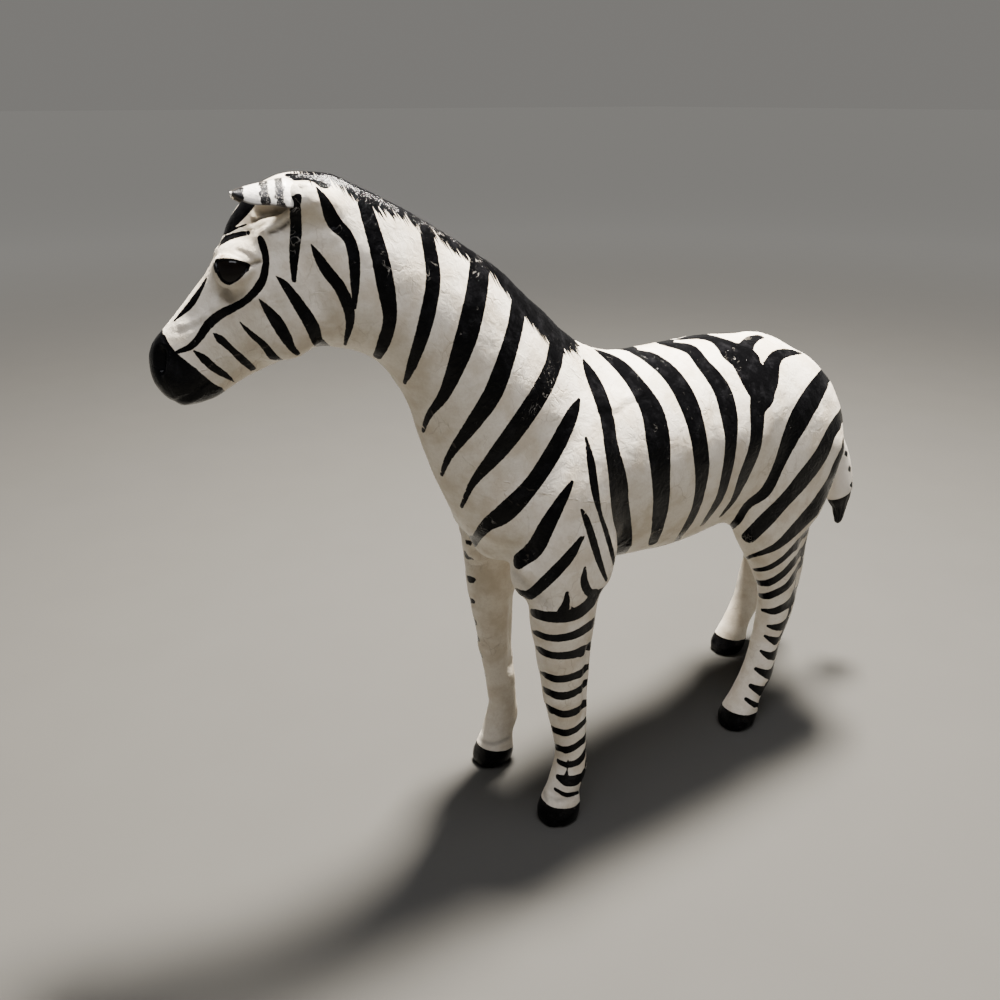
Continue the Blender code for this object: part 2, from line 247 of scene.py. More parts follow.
# Strokes of the head: nose, brow and cheek
HEAD_STROKES = {
    "nose": ((206, 279, 2), (202, 287, 4), (191, 304, 7), (175, 320, 2)),
    "brow": ((212.5, 257, 3), (217, 248, 6), (225, 240, 6), (237, 235, 6), (248, 233, 5)),
    "temple": ((229, 232, 2.5), (237, 228, 2.5), (246, 224.5, 2)),
    "lid_front": ((216, 261, 2.5), (215.3, 265, 3.5), (216, 271, 2.5)),
    "face": ((260, 238, 6), (263, 246, 8), (266, 262, 7), (261, 283, 9), (245, 301, 8), (221, 314, 9.5),
             (208, 325, 10), (199, 338, 8), (190, 347, 7), (177, 352, 4)),
    "cheek_a": ((194, 351, 2), (203, 358, 8), (214, 368, 8), (225, 375, 6), (235, 382, 1)),
    "cheek_b": ((213, 333, 1), (220, 339, 8), (231, 349, 6.5), (244, 361, 8), (253, 369, 6)),
    "cheek_c": ((240, 322, 1), (249, 332, 5), (263, 344, 7), (272, 355, 8), (279, 360, 5)),
    "cheek_d": ((259, 299, 1), (267, 309, 8), (278, 324, 13), (287, 339, 11), (292, 348, 7),
                (298, 354, 5)),
    "cheek_e": ((276, 276, 1), (285, 285, 8), (299, 305, 12), (312, 326, 14), (318, 342, 11),
                (326, 346, 9)),
    "cheek_f": ((298, 197, 8), (295.5, 210, 11), (296, 232, 12), (294, 255, 10), (294, 280, 5)),
    "cheek_g": ((311, 244, 1), (317, 255, 8), (327, 271, 12), (339, 286, 12), (347, 303, 12),
                (350, 321, 9), (345, 345, 3)),
    "cheek_h": ((317, 188, 2), (325, 202, 10), (334, 222, 15), (348, 237, 12), (354, 257, 12),
                (355, 286, 9), (355, 308, 3)),
}

# Strokes of the neck, from the mane down
NECK_STROKES = {
    "neck_i": ((365, 205, 14), (378, 249, 17), (386, 287, 18), (390, 318, 14), (384, 342, 13),
               (377, 357, 9)),
    "neck_j": ((424, 222, 12), (431, 256, 14), (433, 284, 15), (425, 325, 15), (413, 362, 11),
               (404.5, 383, 4)),
    "neck_k": ((480, 262, 20), (476, 296, 22), (465, 341, 22), (446, 391, 13), (429, 415, 7),
               (423, 431, 4)),
    "neck_l": ((520, 294, 16), (515, 327, 16), (505, 362, 18), (492, 395, 19), (472, 425, 15),
               (450, 455, 8), (441.5, 475, 4)),
    "neck_m": ((558, 335, 15), (553, 365, 17), (540, 393, 19), (516, 429, 19), (496, 455, 16),
               (473, 483, 8), (461.5, 507, 4)),
}

# Strokes of the shoulder
SHOULDER_STROKES = {
    "shoulder_n": ((579, 400, 4), (572, 415, 13), (555, 449, 17), (533, 483, 17), (506, 512, 20),
                   (486, 526, 13), (473, 543, 8)),
    "shoulder_o": ((572, 482, 4), (564, 496, 10), (548, 524, 16), (535, 548, 18), (518, 562, 15)),
    "shoulder_p": ((581, 539, 5), (568, 558, 11), (547, 580, 12), (529, 595, 10), (519, 592, 5)),
    "shoulder_q": ((586, 438, 3), (591, 462, 8), (595, 490, 8), (600, 513, 4.5), (605.5, 530, 5),
                   (610.5, 547, 5), (614, 563, 3.5)),
    "shoulder_r": ((581.5, 510, 3), (585.5, 518, 6.5), (590.5, 532, 7.5), (595.5, 549, 7.5), (601, 566, 6),
                   (606.5, 580, 3.5)),
    "hook_s": ((585, 568, 3), (584, 582, 8), (590, 593, 9), (602, 592, 6)),
    "hook_t": ((567, 593, 4), (566, 604, 8), (561, 612, 8)),
}

# Strokes of the flank and the croup, each from the back down
FLANK_STROKES = {
    "flank_a": ((584, 361, 3), (591, 375, 11), (599, 393, 14), (607, 418, 14), (611, 445, 14),
                (617, 475, 18), (620, 505, 19), (623, 532, 18), (620, 559, 15)),
    "flank_b": ((598, 351, 3), (618, 364, 12), (636, 384, 16), (652, 411, 22), (658, 440, 24),
                (661, 475, 19), (661, 505, 16), (657, 530, 11), (648, 557, 6)),
    "flank_c": ((633, 351, 4), (652, 359, 13), (672, 376, 17), (687, 400, 19), (697, 430, 17),
                (702, 465, 15), (700, 492, 10), (692, 517, 7), (674, 545, 3)),
    "flank_d": ((664, 344, 3), (689, 349, 10), (703, 364, 13), (721, 388, 17), (729, 415, 17),
                (731, 442, 12), (727, 472, 10), (719, 499, 7), (703, 524, 3)),
    "croup_left": ((680, 339, 3), (692, 337, 5), (704, 337, 6), (715, 339, 9), (725, 345, 15),
                   (733, 354, 20)),
    "croup_middle": ((760, 336.5, 5), (753, 338, 10), (748.5, 343, 13), (745, 349, 17), (743, 357, 22)),
    "croup_right": ((801, 353, 2), (788, 352.5, 8), (777, 356, 13), (772, 366, 17), (770, 378, 19),
                    (766, 390, 20)),
    "croup_trunk": ((743, 357, 28), (748, 367, 26), (755, 378, 28), (761, 390, 27), (760, 399, 22),
                    (757.5, 409, 16), (757, 430, 13), (754, 450, 12), (744, 476, 10), (734, 499, 5),
                    (721, 516, 2)),
    "thigh_f": ((831, 367, 14), (825, 376, 15), (814, 394, 20), (801, 416, 21), (791, 436, 17),
                (779, 465, 11), (766, 491, 11), (748, 505, 8), (738, 520, 8), (731, 527, 6)),
    "thigh_g": ((843, 413, 11), (832, 431, 11), (821, 455, 14), (803, 479, 15), (785, 500, 13),
                (766, 520, 15), (748, 538, 14)),
    "thigh_h": ((843, 449, 4), (837.5, 464, 8), (831, 482, 12), (817, 505, 13), (797, 527, 11),
                (775, 547, 7), (746, 558, 3)),
}

# Bands of the hind leg, from its back edge to its front
HIND_BANDS = {
    "hind_i": ((811, 526, 4), (806, 532, 5), (787, 555, 5), (768, 568, 5), (749, 570, 3)),
    "hind_j": ((806, 546, 4), (798, 556, 5), (784, 573, 6), (768, 583, 7), (757, 582, 4)),
    "hind_k": ((804, 559, 4), (796, 571, 4), (787, 586, 6), (768, 596, 7), (755, 594, 3)),
    "hind_l": ((803, 575, 4), (796, 589, 4), (790, 602, 6), (775, 611, 7), (762, 610, 3)),
    "hind_m": ((801, 593, 4), (795, 608, 4), (789, 621, 7), (778, 627, 7), (768, 626, 3)),
    "hind_n": ((787, 637, 8), (776, 641, 8), (765, 636, 3)),
    "hind_o": ((781, 652, 7), (770, 656, 8), (761, 651, 3)),
    "hind_p": ((777, 671, 9), (767, 674, 9), (756, 669, 4)),
    "hind_q": ((772, 688, 9), (762, 691, 10), (751, 686, 5)),
    "hind_r": ((762, 706, 4), (755, 705, 6), (746, 699, 4)),
}

# Bands of the foreleg, from its front edge to its back
FORE_BANDS = {
    "fore_1": ((527, 611, 8), (551, 617, 11), (577, 613, 12), (601, 592, 7)),
    "fore_2": ((529, 630, 5), (551, 638, 7), (574, 635, 8), (593, 623, 8)),
    "fore_3": ((532, 645, 6), (551, 655, 7), (574, 654, 8), (592, 643, 8)),
    "fore_4": ((536, 670, 4), (556, 679, 7), (577, 675, 7), (592, 663, 5)),
    "fore_5": ((545, 690, 5), (559, 696, 8), (574, 693, 7), (587, 682, 5)),
    "fore_6": ((549, 708, 5), (562, 714, 7), (574, 712, 7), (586, 703, 5)),
    "fore_7": ((553, 729, 5), (564, 733, 7), (575, 730, 6), (584, 722, 4)),
    "fore_8": ((555, 745, 4), (565, 750, 7), (576, 746, 6), (585, 738, 5)),
    "fore_9": ((558, 761, 4), (567, 765, 6), (579, 761, 6), (585, 752, 4)),
    "fore_10": ((558, 777, 5), (567, 781, 11), (578, 779, 9), (589, 770, 6)),
    "crown_front": ((566, 778, 6), (567, 770, 1)),
    "crown_back": ((583, 775, 6), (585, 768, 1)),
    "fore_11": ((555, 789, 3), (567, 795, 5), (582, 791, 3)),
}

# Ends of the bands of the other foreleg, where they come round its front; they aren't mirrored
FAR_FORE_DABS = {
    "dab_1": ((466, 542, 4), (470, 543, 5)),
    "dab_2": ((467, 557, 5), (471, 558, 5)),
    "dab_3": ((469, 579, 7), (473, 580, 6)),
    "dab_4": ((469, 600, 6), (473, 601, 5)),
    "dab_5": ((473, 622, 4), (475.5, 623, 4)),
}

# The black forelock between the ears and the black poll behind them
FORELOCK_STROKES = {
    "forelock": ((246, 202, 19), (239.5, 211, 17), (231.5, 221, 14), (225.5, 229, 10), (219.5, 238, 7),
                 (215.5, 247, 5), (212.5, 254, 4)),
    "poll": ((288, 175, 4), (304, 178, 9), (322, 181, 9)),
}

STROKE_GROUPS = (HEAD_STROKES, NECK_STROKES, SHOULDER_STROKES, FLANK_STROKES, HIND_BANDS, FORE_BANDS,
                 FORELOCK_STROKES)

# Lower edge of the black mane, from the poll to the withers, and how steeply its hair runs in
MANE_LEAN = 0.8
MANE_EDGE = ((292, 177), (316, 187), (340, 194), (360, 209), (377, 218), (405, 225), (424, 237), (440, 246),
             (455, 257), (472, 266), (491, 280), (509, 300), (526, 321), (540, 338), (553, 351), (566, 357),
             (582, 358))

# Where the black of the muzzle ends, from the bridge of the nose to the chin, and the head's slope
HEAD_SLOPE = 41
MUZZLE_EDGE = ((161, 326), (169, 343), (178, 354), (199, 371), (213, 383), (227, 390))

# A stroke is read every few pixels. Its half width there is measured on the skin, within limits
# that are multiples of the one a level skin would give.
STROKE_STEP = 5
WIDEST_SIDE = 4
LEAST_SIDE = 0.6

# In millimetres: a longer jump between two places of a stroke ends it, the field of the paint
# reaches this far from an edge, and the skin is finer round this reach of a tip thinner than 5 pixels
JUMP = 12
PAINT_REACH = 9
THIN_TIP = 5
TIP_REACH = 2.6

# The skin beside a place is looked for from outside, and the middle's places have no side
OUTSIDE = 30
LOOK_IN = 45
NO_SIDE = 8
NEAREST_TRIES = 6

# How far strokes run on past the photograph's outline in millimetres, and how much they taper there
CARRY_STEP = 3
CARRY_TAPER = 0.6
CARRIED = {"thigh_f": 42, "thigh_g": 36, "thigh_h": 6, **{name: 9 for name in HIND_BANDS}}
FORE_CARRY = 6

# The far side's strokes wander by this much, and the right hind leg stands back by the stride
FAR_SIDE_FADE = 25
FAR_SIDE_WOBBLE = 2.5
FAR_SIDE_WAVE = 17
FAR_SIDE_ROUNDS = 3
STRIDE = 60
STRIDE_FROM = 205
STRIDE_TO = 85
STRIDE_BEHIND = 80
STRIDE_FADE = 40
BACK_ABOVE = 205
BACK_MIDDLE = 12


def smooth_path(points, step):
    """Points along a Catmull-Rom curve through the rows given, about every step in its first two numbers."""
    rows = np.asarray(points, float)
    if len(rows) < 3:
        rows = np.array([rows[0], (rows[0] + rows[-1]) / 2, rows[-1]])
    ends = np.vstack((2 * rows[0] - rows[1], rows, 2 * rows[-1] - rows[-2]))
    path = []
    for before, start, end, after in zip(ends, ends[1:], ends[2:], ends[3:]):
        count = max(1, round(np.linalg.norm((end - start)[:2]) / step))
        for t in np.arange(count) / count:
            path.append(0.5 * (2 * start + (end - before) * t
                               + (2 * before - 5 * start + 4 * end - after) * t ** 2
                               + (3 * start - before - 3 * end + after) * t ** 3))
    return np.array(path + [rows[-1]])


class Photograph:
    """Finds places of the skin behind pixels of the photograph."""

    def __init__(self, skin):
        skin.data.calc_loop_triangles()
        triangles = [tuple(part.vertices) for part in skin.data.loop_triangles]
        self.tree = BVHTree.FromPolygons([corner.co for corner in skin.data.vertices], triangles)

    def place(self, x, y):
        """The skin's place behind a pixel, or the nearest one where the pixel just misses it."""
        ray = pixel_ray(x, y)
        hit = self.tree.ray_cast(CAMERA_PLACE, ray)[0]
        if hit is None:
            reach = CAMERA_PLACE.length
            for attempt in range(NEAREST_TRIES):
                hit = self.tree.find_nearest(CAMERA_PLACE + ray * reach)[0]
                reach = (hit - CAMERA_PLACE).dot(ray)
        return hit

    def hides(self, place):
        """True where the skin hides a place of its own from the camera."""
        way = Vector(place) - CAMERA_PLACE
        hit = self.tree.ray_cast(CAMERA_PLACE, way.normalized())[0]
        return hit is not None and (hit - CAMERA_PLACE).length < way.length - 1 * MM

    def onto_skin(self, grid):
        """The skin's places beside rows of the straight grid, looked for from the outer side."""
        found = []
        for place, inner in zip(bend(grid), bend(grid * (0, 1, 1))):
            way = Vector(inner - place)
            way.z = 0
            hit = None
            if way.length > NO_SIDE * MM:
                way.normalize()
                hit = self.tree.ray_cast(Vector(place) - way * OUTSIDE * MM, way, LOOK_IN * MM)[0]
            if hit is None:
                hit = self.tree.find_nearest(Vector(place))[0]
            found.append(hit)
        return np.array(found)

    def carry_on(self, places, halves, length):
        """The stroke carried on past its first place, over skin that the camera doesn't see."""
        steps = round(length / CARRY_STEP)
        way = Vector(places[0] - places[min(2, len(places) - 1)])
        spots = [Vector(places[0])]
        for step in range(steps):
            spots.append(self.tree.find_nearest(spots[-1] + way.normalized() * CARRY_STEP * MM)[0])
            way = spots[-1] - spots[-2]
        tapers = 1 - CARRY_TAPER * ((np.arange(steps) + 1) / steps) ** 2
        return (np.vstack((np.array(spots[:0:-1]), places)),
                np.concatenate((halves[:2].max() * tapers[::-1], halves)))

    def stroke(self, points):
        """Places along one stroke and its half widths there, both in metres."""
        path = smooth_path(points, STROKE_STEP)
        runs = np.gradient(path[:, :2], axis=0)
        runs /= np.linalg.norm(runs, axis=1)[:, None]
        places = np.array([self.place(x, y) for x, y in path[:, :2]])
        ways = np.gradient(places, axis=0)
        ways /= np.maximum(np.linalg.norm(ways, axis=1), 1e-9)[:, None]
        halves = []
        for i, ((x, y, width), (run_x, run_y), way) in enumerate(zip(path, runs, ways)):
            plain = width / 2 * np.linalg.norm(places[i] - CAMERA_PLACE) / FOCAL
            edges = [self.tree.ray_cast(CAMERA_PLACE, pixel_ray(x - side * run_y, y + side * run_x))[0]
                     for side in (-width / 2, width / 2)]
            sides = [np.array(edge) - places[i] for edge in edges if edge is not None]
            sides = [side - way * (side @ way) for side in sides]
            sides = [side for side in sides if np.linalg.norm(side) < WIDEST_SIDE * plain]
            wide = plain
            if len(sides) == 1:
                wide = np.linalg.norm(sides[0])
            if len(sides) == 2:
                wide = np.linalg.norm(sides[1] - sides[0]) / 2
                places[i] = self.tree.find_nearest(Vector(places[i] + (sides[0] + sides[1]) / 2))[0]
            halves.append(max(wide, LEAST_SIDE * plain))
        # An end whose ray slips past the part onto one behind it is left out
        jumps = np.linalg.norm(np.diff(places, axis=0), axis=1) > JUMP * MM
        middle = len(places) // 2
        start = max([i + 1 for i in np.flatnonzero(jumps) if i < middle], default=0)
        end = min([i + 1 for i in np.flatnonzero(jumps) if i >= middle], default=len(places))
        return places[start:end], np.array(halves)[start:end]


def mirrored(photograph, places, halves):
    """The stroke of the other side: mirrored, a little uneven, and only where the camera doesn't see it."""
    grid = straighten(places)
    grid[:, 0] = -grid[:, 0]
    off_middle = ease(np.abs(grid[:, 0]) / FAR_SIDE_FADE)
    grid[:, 1] += off_middle * FAR_SIDE_WOBBLE * np.sin(grid[:, 2] / FAR_SIDE_WAVE)
    behind_elbow = ease((grid[:, 1] - STRIDE_BEHIND) / STRIDE_FADE)
    heights = grid[:, 2]
    if heights.max() < STRIDE_FROM:
        heights = heights.mean()
    grid[:, 1] += STRIDE * behind_elbow * ease((STRIDE_FROM - heights) / (STRIDE_FROM - STRIDE_TO))
    other = photograph.onto_skin(grid)
    for smoothing in range(FAR_SIDE_ROUNDS):
        other[1:-1] = (other[:-2] + 2 * other[1:-1] + other[2:]) / 4
    on_back = (grid[:, 2] > BACK_ABOVE) & (np.abs(grid[:, 0] + BACK_MIDDLE / 2) < BACK_MIDDLE / 2 + 1)
    kept = np.array([photograph.hides(place) for place in other]) | on_back
    runs, start = [], None
    for i, shown in enumerate(list(kept) + [False]):
        if shown and start is None:
            start = i
        if not shown and start is not None:
            if i - start > 1:
                runs.append((other[start:i], halves[start:i]))
            start = None
    return runs


def stroke_field(places, strokes, reach=PAINT_REACH):
    """For each place, millimetres to the nearest stroke's edge, above zero inside a stroke."""
    field = np.full(len(places), -float(reach))
    spots = places / MM
    for path, halves in strokes:
        path, halves = path / MM, halves / MM
        for start, end, wide, next_wide in zip(path[:-1], path[1:], halves[:-1], halves[1:]):
            margin = max(wide, next_wide) + reach
            low, high = np.minimum(start, end) - margin, np.maximum(start, end) + margin
            near = np.flatnonzero(((spots > low) & (spots < high)).all(1))
            run = end - start
            share = np.clip((spots[near] - start) @ run / max(run @ run, 0.01), 0, 1)
            gap = np.linalg.norm(spots[near] - start - share[:, None] * run, axis=1)
            field[near] = np.maximum(field[near], wide + (next_wide - wide) * share - gap)
    return field


# Relief of the skin. Each crease or ridge follows pixels of the photograph: its points, then how
# wide and how high it is in millimetres, below zero for a crease.
RELIEF = {
    "brow_ridge": (((221, 250), (231, 246), (243, 246), (256, 254)), 3.2, 0.9),
    "brow_crease": (((238, 251), (247, 255), (256, 262)), 0.9, -0.35),
    "lid_corner": (((251, 265), (260, 262)), 0.8, -0.7),
    "eye_hollow": (((222, 291), (229, 297), (240, 297)), 3.2, -1.8),
    "tear_hollow": (((217, 284), (221, 292), (228, 300)), 2.2, -1.4),
    "nose_side": (((218, 290), (205, 303), (192, 318)), 3.5, -1.2),
    "lower_lid": (((219, 283), (226, 288), (238, 283), (251, 270)), 1.4, 0.5),
    "nostril_hollow": (((162, 352), (160, 361), (160, 370)), 1.9, -2.6),
    "nostril_rim": (((163, 345), (167.5, 354), (168, 366), (164, 376)), 1.1, 0.7),
    "mouth": (((172, 403), (182, 399), (193, 394), (201, 387), (209, 381)), 0.7, -0.8),
    "lower_lip": (((176, 407), (190, 402), (203, 394)), 1.6, 0.4),
    "cheek_fold": (((180, 331), (190, 327), (204, 320)), 1.3, -0.5),
    "cheek_fold_rim": (((183, 326), (194, 321), (207, 315)), 1.6, 0.4),
    "face_crest": (((216, 307), (230, 303), (246, 300), (262, 294)), 3.0, 1.0),
    "ear_roll": (((291, 211), (283, 218), (275, 226), (267, 232)), 1.7, 2.0),
    "ear_roll_crease": (((289, 221), (281, 228), (270, 233.5)), 0.75, -1.3),
    "ear_hollow": (((260, 211), (272, 209.5), (286, 207)), 1.9, -2.8),
    "ear_slit": (((253, 221), (259, 217), (268, 214), (278, 211.5)), 0.8, -1.5),
    "poll_fold": (((300, 187), (296, 196), (290, 206)), 2.0, -0.9),
    "temple_ridge": (((258, 238), (272, 239), (292, 241), (330, 236)), 3.0, 0.9),
    "temple_hollow": (((300, 215), (310, 222), (322, 226)), 4.0, -0.8),
    "jaw_fold": (((262, 290), (274, 300), (282, 316), (290, 338)), 2.5, -0.6),
    "throat_fold": (((300, 250), (310, 275), (318, 300), (330, 322)), 3.0, -0.6),
    "fetlock_near": (((546, 788), (560, 797), (580, 792)), 1.5, -0.4),
    "fetlock_far": (((481, 741), (494, 744), (509, 738)), 1.3, -0.5),
    "wrap_far": (((472, 589), (491, 592), (512, 588)), 1.1, 0.4),
    "knee_near": (((545, 700), (560, 704), (580, 698)), 4.0, 0.4),
    "elbow_fold": (((511, 572), (530, 590), (548, 606)), 2.4, -0.6),
    "flank_fold": (((735, 526), (745, 540), (750, 556)), 2.2, -0.5),
    "thigh_back": (((836, 452), (830, 474), (823, 492), (814, 510)), 10, 3.6),
    "saddle_fold": (((598, 411), (614, 414), (626, 405), (644, 398)), 1.1, -0.6),
    "saddle_fold_rim": (((600, 406), (614, 408), (626, 400), (644, 392)), 2.0, 0.4),
    "elbow_back": (((611, 548), (609, 562), (605, 576)), 6.0, 3.0),
    "croup_top": (((734, 332), (746, 332), (758, 334), (768, 337)), 10.0, -1.9),
    "breast_under": (((474, 546), (485, 551), (495, 555)), 8.0, -2.2),
    "shank_back": (((806, 538), (803, 560), (801, 580), (797, 602)), 7.0, -2.2),
    "far_fore_back": (((514, 602), (513, 622), (513, 645), (512, 664)), 5.0, -2.2),
}

# How dark the painted shade is in each crease
CREASE_SHADE = {"ear_hollow": 0.75, "ear_slit": 0.95, "ear_roll_crease": 0.75, "brow_crease": 0.15,
         "lid_corner": 0.6, "eye_hollow": 0.22, "tear_hollow": 0.25, "cheek_fold": 0.25, "elbow_fold": 0.3,
         "fetlock_far": 0.4, "saddle_fold": 0.2}

# Soft unevenness of the hand-laid skin: wave length and height in millimetres
UNEVEN = ((26, 0.5), (11, 0.38), (5, 0.16))

# Opening between the lids, forwards and up from the middle of the eye in millimetres
EYE_OPENING = ((-6.3, 2.3), (-4.9, 3.2), (-2.9, 3.8), (-0.6, 4.3), (2.0, 4.5), (4.6, 4.2), (5.5, 3.2),
               (5.3, 0.9), (4.6, -1.5), (3.4, -3.3), (1.7, -3.9), (0.1, -3.3), (-2.0, -1.9), (-4.0, -0.2),
               (-5.6, 1.0))
LID_REACH = 0.75
LID_WIDTH = 1.9
SUNK_RADIUS = 5.4
LID_LINE = 0.3
LID_SPREAD = 5
SOLE_HEIGHT = 0.7


def both_sides(photograph, pixels):
    """Places behind the pixels, and their mirrored copies on the other side."""
    near = np.array([photograph.place(x, y) for x, y in pixels])
    grid = straighten(near)
    grid[:, 0] = -grid[:, 0]
    return near, photograph.onto_skin(grid)


def shape_relief(skin, photograph):
    """Presses the creases and ridges into the skin, and its soft unevenness, and keeps the painted shade of
    the creases.
    """
    places, normals = places_of(skin), normals_of(skin)
    heights, crease_shade = np.zeros(len(places)), np.zeros(len(places))
    for name, (pixels, width, height) in RELIEF.items():
        path = smooth_path(pixels, STROKE_STEP)
        for line in both_sides(photograph, path):
            gap = -stroke_field(places, [(line, np.zeros(len(line)))], 3 * width)
            profile = np.exp(-(gap / width) ** 2)
            heights += height * profile
            crease_shade = np.maximum(crease_shade, CREASE_SHADE.get(name, 0) * profile)
    for wave, height in UNEVEN:
        scaled = places / MM / wave
        heights += height * np.array([noise.noise(Vector(spot)) for spot in scaled])
    heights *= ease((places[:, 2] / MM - SOLE_HEIGHT) / 6)
    move_to(skin, places + normals * heights[:, None] * MM)
    keep_value(skin, "crease_shade", crease_shade)


def outline_gap(points, spots):
    """Millimetres from each spot to a closed outline in its plane, above zero inside."""
    gap = np.full(len(spots), np.inf)
    inside = np.zeros(len(spots), bool)
    for start, end in zip(points, np.roll(points, -1, axis=0)):
        run = end - start
        share = np.clip((spots - start) @ run / (run @ run), 0, 1)
        gap = np.minimum(gap, np.linalg.norm(spots - start - share[:, None] * run, axis=1))
        crosses = (start[1] > spots[:, 1]) != (end[1] > spots[:, 1])
        rise = np.where(abs(run[1]) > 1e-9, run[1], 1e-9)
        inside ^= crosses & (spots[:, 0] < start[0] + (spots[:, 1] - start[1]) / rise * run[0])
    return np.where(inside, gap, -gap)


def shape_eyelids(skin):
    """Raises the lids over the glass balls and sinks the skin in their opening, which it returns."""
    opening = smooth_path(EYE_OPENING + EYE_OPENING[:1], 0.6)[:-1, :2]
    places = places_of(skin)
    inside = np.full(len(places), -float(PAINT_REACH))
    for side in (1, -1):
        x, y, z = EYE_CENTRE
        middle = bend((side * x, y, z))[0]
        forward = bend((side * x, y - 1, z))[0] - middle
        forward /= np.linalg.norm(forward)
        out = bend((side * (x + 1), y, z))[0] - middle
        out /= np.linalg.norm(out)
        away = (places - middle) / MM
        reach = np.linalg.norm(away, axis=1)
        near = np.flatnonzero((reach < EYE_RADIUS + LID_SPREAD) & (away @ out > -1.5))
        spots = np.stack((away[near] @ forward, away[near, 2]), 1)
        gap = outline_gap(opening, spots)
        lid = EYE_RADIUS + LID_REACH * np.exp(-(np.minimum(gap + 0.3, 0) / LID_WIDTH) ** 2)
        fade = ease((EYE_RADIUS + LID_SPREAD - reach[near]) / 3)
        raised = np.maximum(reach[near], np.where(gap > -3, lid, 0) * fade)
        wanted = raised + (SUNK_RADIUS - raised) * ease((gap + 0.1) / 0.5)
        places[near] = middle + away[near] / reach[near, None] * wanted[:, None] * MM
        inside[near] = np.maximum(inside[near], gap + LID_LINE)
    move_to(skin, places)
    return inside


# Paint on the skin

# Joins of the leather and one crack, through pixels of the photograph
SEAMS = {
    "side": ((496, 478), (521, 487), (546, 494), (571, 499), (609, 503), (646, 501)),
    "chest": ((403, 396), (412, 420), (441, 493), (460, 526), (473, 544)),
    "jaw": ((199, 372), (208, 368), (219, 358), (230, 357), (242, 353), (254, 350), (268, 346)),
    "crack": ((563, 357), (571, 368), (585, 383)),
}

# Places where the black paint shows pale threads, partly worn through and partly painted highlight, and
# places where it is speckled or chipped: pixel, reach in millimetres and strength
WEAR_AND_HIGHLIGHT = ((481, 528, 6, 0.7), (749, 541, 5, 1.0), (297, 203, 3, 0.7), (247, 233, 2.5, 0.7),
        (326, 345, 3.5, 0.7), (296, 238, 4, 0.5), (550, 385, 7, 0.55), (534, 412, 7, 0.5),
        (733, 361, 6, 0.5), (388, 262, 6, 0.4), (430, 230, 8, 0.45), (452, 246, 8, 0.4),
        (474, 259, 8, 0.35), (433, 270, 5, 0.4), (345, 233, 5, 0.4))
SPECKLED = ((176, 348, 2.6, 1.0), (700, 470, 9, 0.35))
CHIPPED = ((222, 256, 0.8, 1.0),)

# Black of the hooves: height of its edge at the middle and how much it drops to the heel, in millimetres
HOOF_HEIGHT = 10.5
HOOF_DROP = 0.16
HOOF_MIDDLES = ((29, 0), (-29, 0), (30, 135), (-30, 195))


def paint_spots(photograph, places, table):
    """Strength of the spots of a table for each place."""
    strength = np.zeros(len(places))
    for x, y, reach, most in table:
        middle = np.array(photograph.place(x, y))
        gap = np.linalg.norm(places - middle, axis=1) / MM / reach
        strength = np.maximum(strength, most * np.exp(-gap ** 2))
    return strength


def paint_seams(photograph, places):
    """Millimetres to the nearest join of the leather."""
    lines = []
    for pixels in SEAMS.values():
        lines += both_sides(photograph, smooth_path(pixels, STROKE_STEP))
    return -stroke_field(places, [(line, np.zeros(len(line))) for line in lines], PAINT_REACH)


def paint_mane(photograph, places):
    """Millimetres inside the mane's lower edge and millimetres along the crest, for each place."""
    edge = np.array([photograph.place(x, y) for x, y in smooth_path(MANE_EDGE, STROKE_STEP)])
    edge = straighten(edge)
    order = np.argsort(edge[:, 1])
    grid = straighten(places)
    near_crest = (grid[:, 1] > edge[:, 1].min() - 6) & (grid[:, 1] < edge[:, 1].max() + 14)
    along = np.clip(grid[:, 1], edge[:, 1].min(), edge[:, 1].max())
    low = np.interp(along, edge[order, 1], edge[order, 2])
    beyond = np.abs(grid[:, 1] - along)
    inside = (grid[:, 2] - low) * MANE_LEAN - beyond
    inside[~near_crest] = -PAINT_REACH
    return np.clip(inside, -PAINT_REACH, PAINT_REACH), grid[:, 1]


def paint_muzzle(photograph, places):
    """Millimetres inside the black of the muzzle."""
    edge = straighten([photograph.place(x, y) for x, y in smooth_path(MUZZLE_EDGE, STROKE_STEP)])
    slope = math.radians(HEAD_SLOPE)
    grid = straighten(places)
    ahead = -grid[:, 1] * math.cos(slope) - grid[:, 2] * math.sin(slope)
    rise = grid[:, 2] * math.cos(slope) - grid[:, 1] * math.sin(slope)
    edge_ahead = -edge[:, 1] * math.cos(slope) - edge[:, 2] * math.sin(slope)
    edge_rise = edge[:, 2] * math.cos(slope) - edge[:, 1] * math.sin(slope)
    order = np.argsort(edge_rise)
    inside = ahead - np.interp(rise, edge_rise[order], edge_ahead[order])
    inside[grid[:, 1] > HEAD_BACK] = -PAINT_REACH
    return np.clip(inside * 0.8, -PAINT_REACH, PAINT_REACH)


def paint_hooves(places):
    """Millimetres inside the black of the hooves."""
    grid = places / MM - GRID_SHIFT
    inside = np.full(len(places), -float(PAINT_REACH))
    for x, y in HOOF_MIDDLES:
        near = (np.abs(grid[:, 0] - x) < 20) & (np.abs(grid[:, 1] - y) < 30) & (grid[:, 2] < 25)
        inside[near] = HOOF_HEIGHT - HOOF_DROP * (grid[near, 1] - y) - grid[near, 2]
    return np.clip(inside, -PAINT_REACH, PAINT_REACH)


def refine_tips(skin, photograph):
    """Divides the skin finer round the thin tips of the strokes."""
    tips = [photograph.place(*points[end][:2]) for group in STROKE_GROUPS for points in group.values()
            for end in (0, -1) if points[end][2] <= THIN_TIP]

    def near_tips(places):
        near = np.zeros(len(places), bool)
        for tip in tips:
            near |= ((places - np.array(tip)) ** 2).sum(1) < (TIP_REACH * MM) ** 2
        return near

    refine(skin, near_tips, 0)


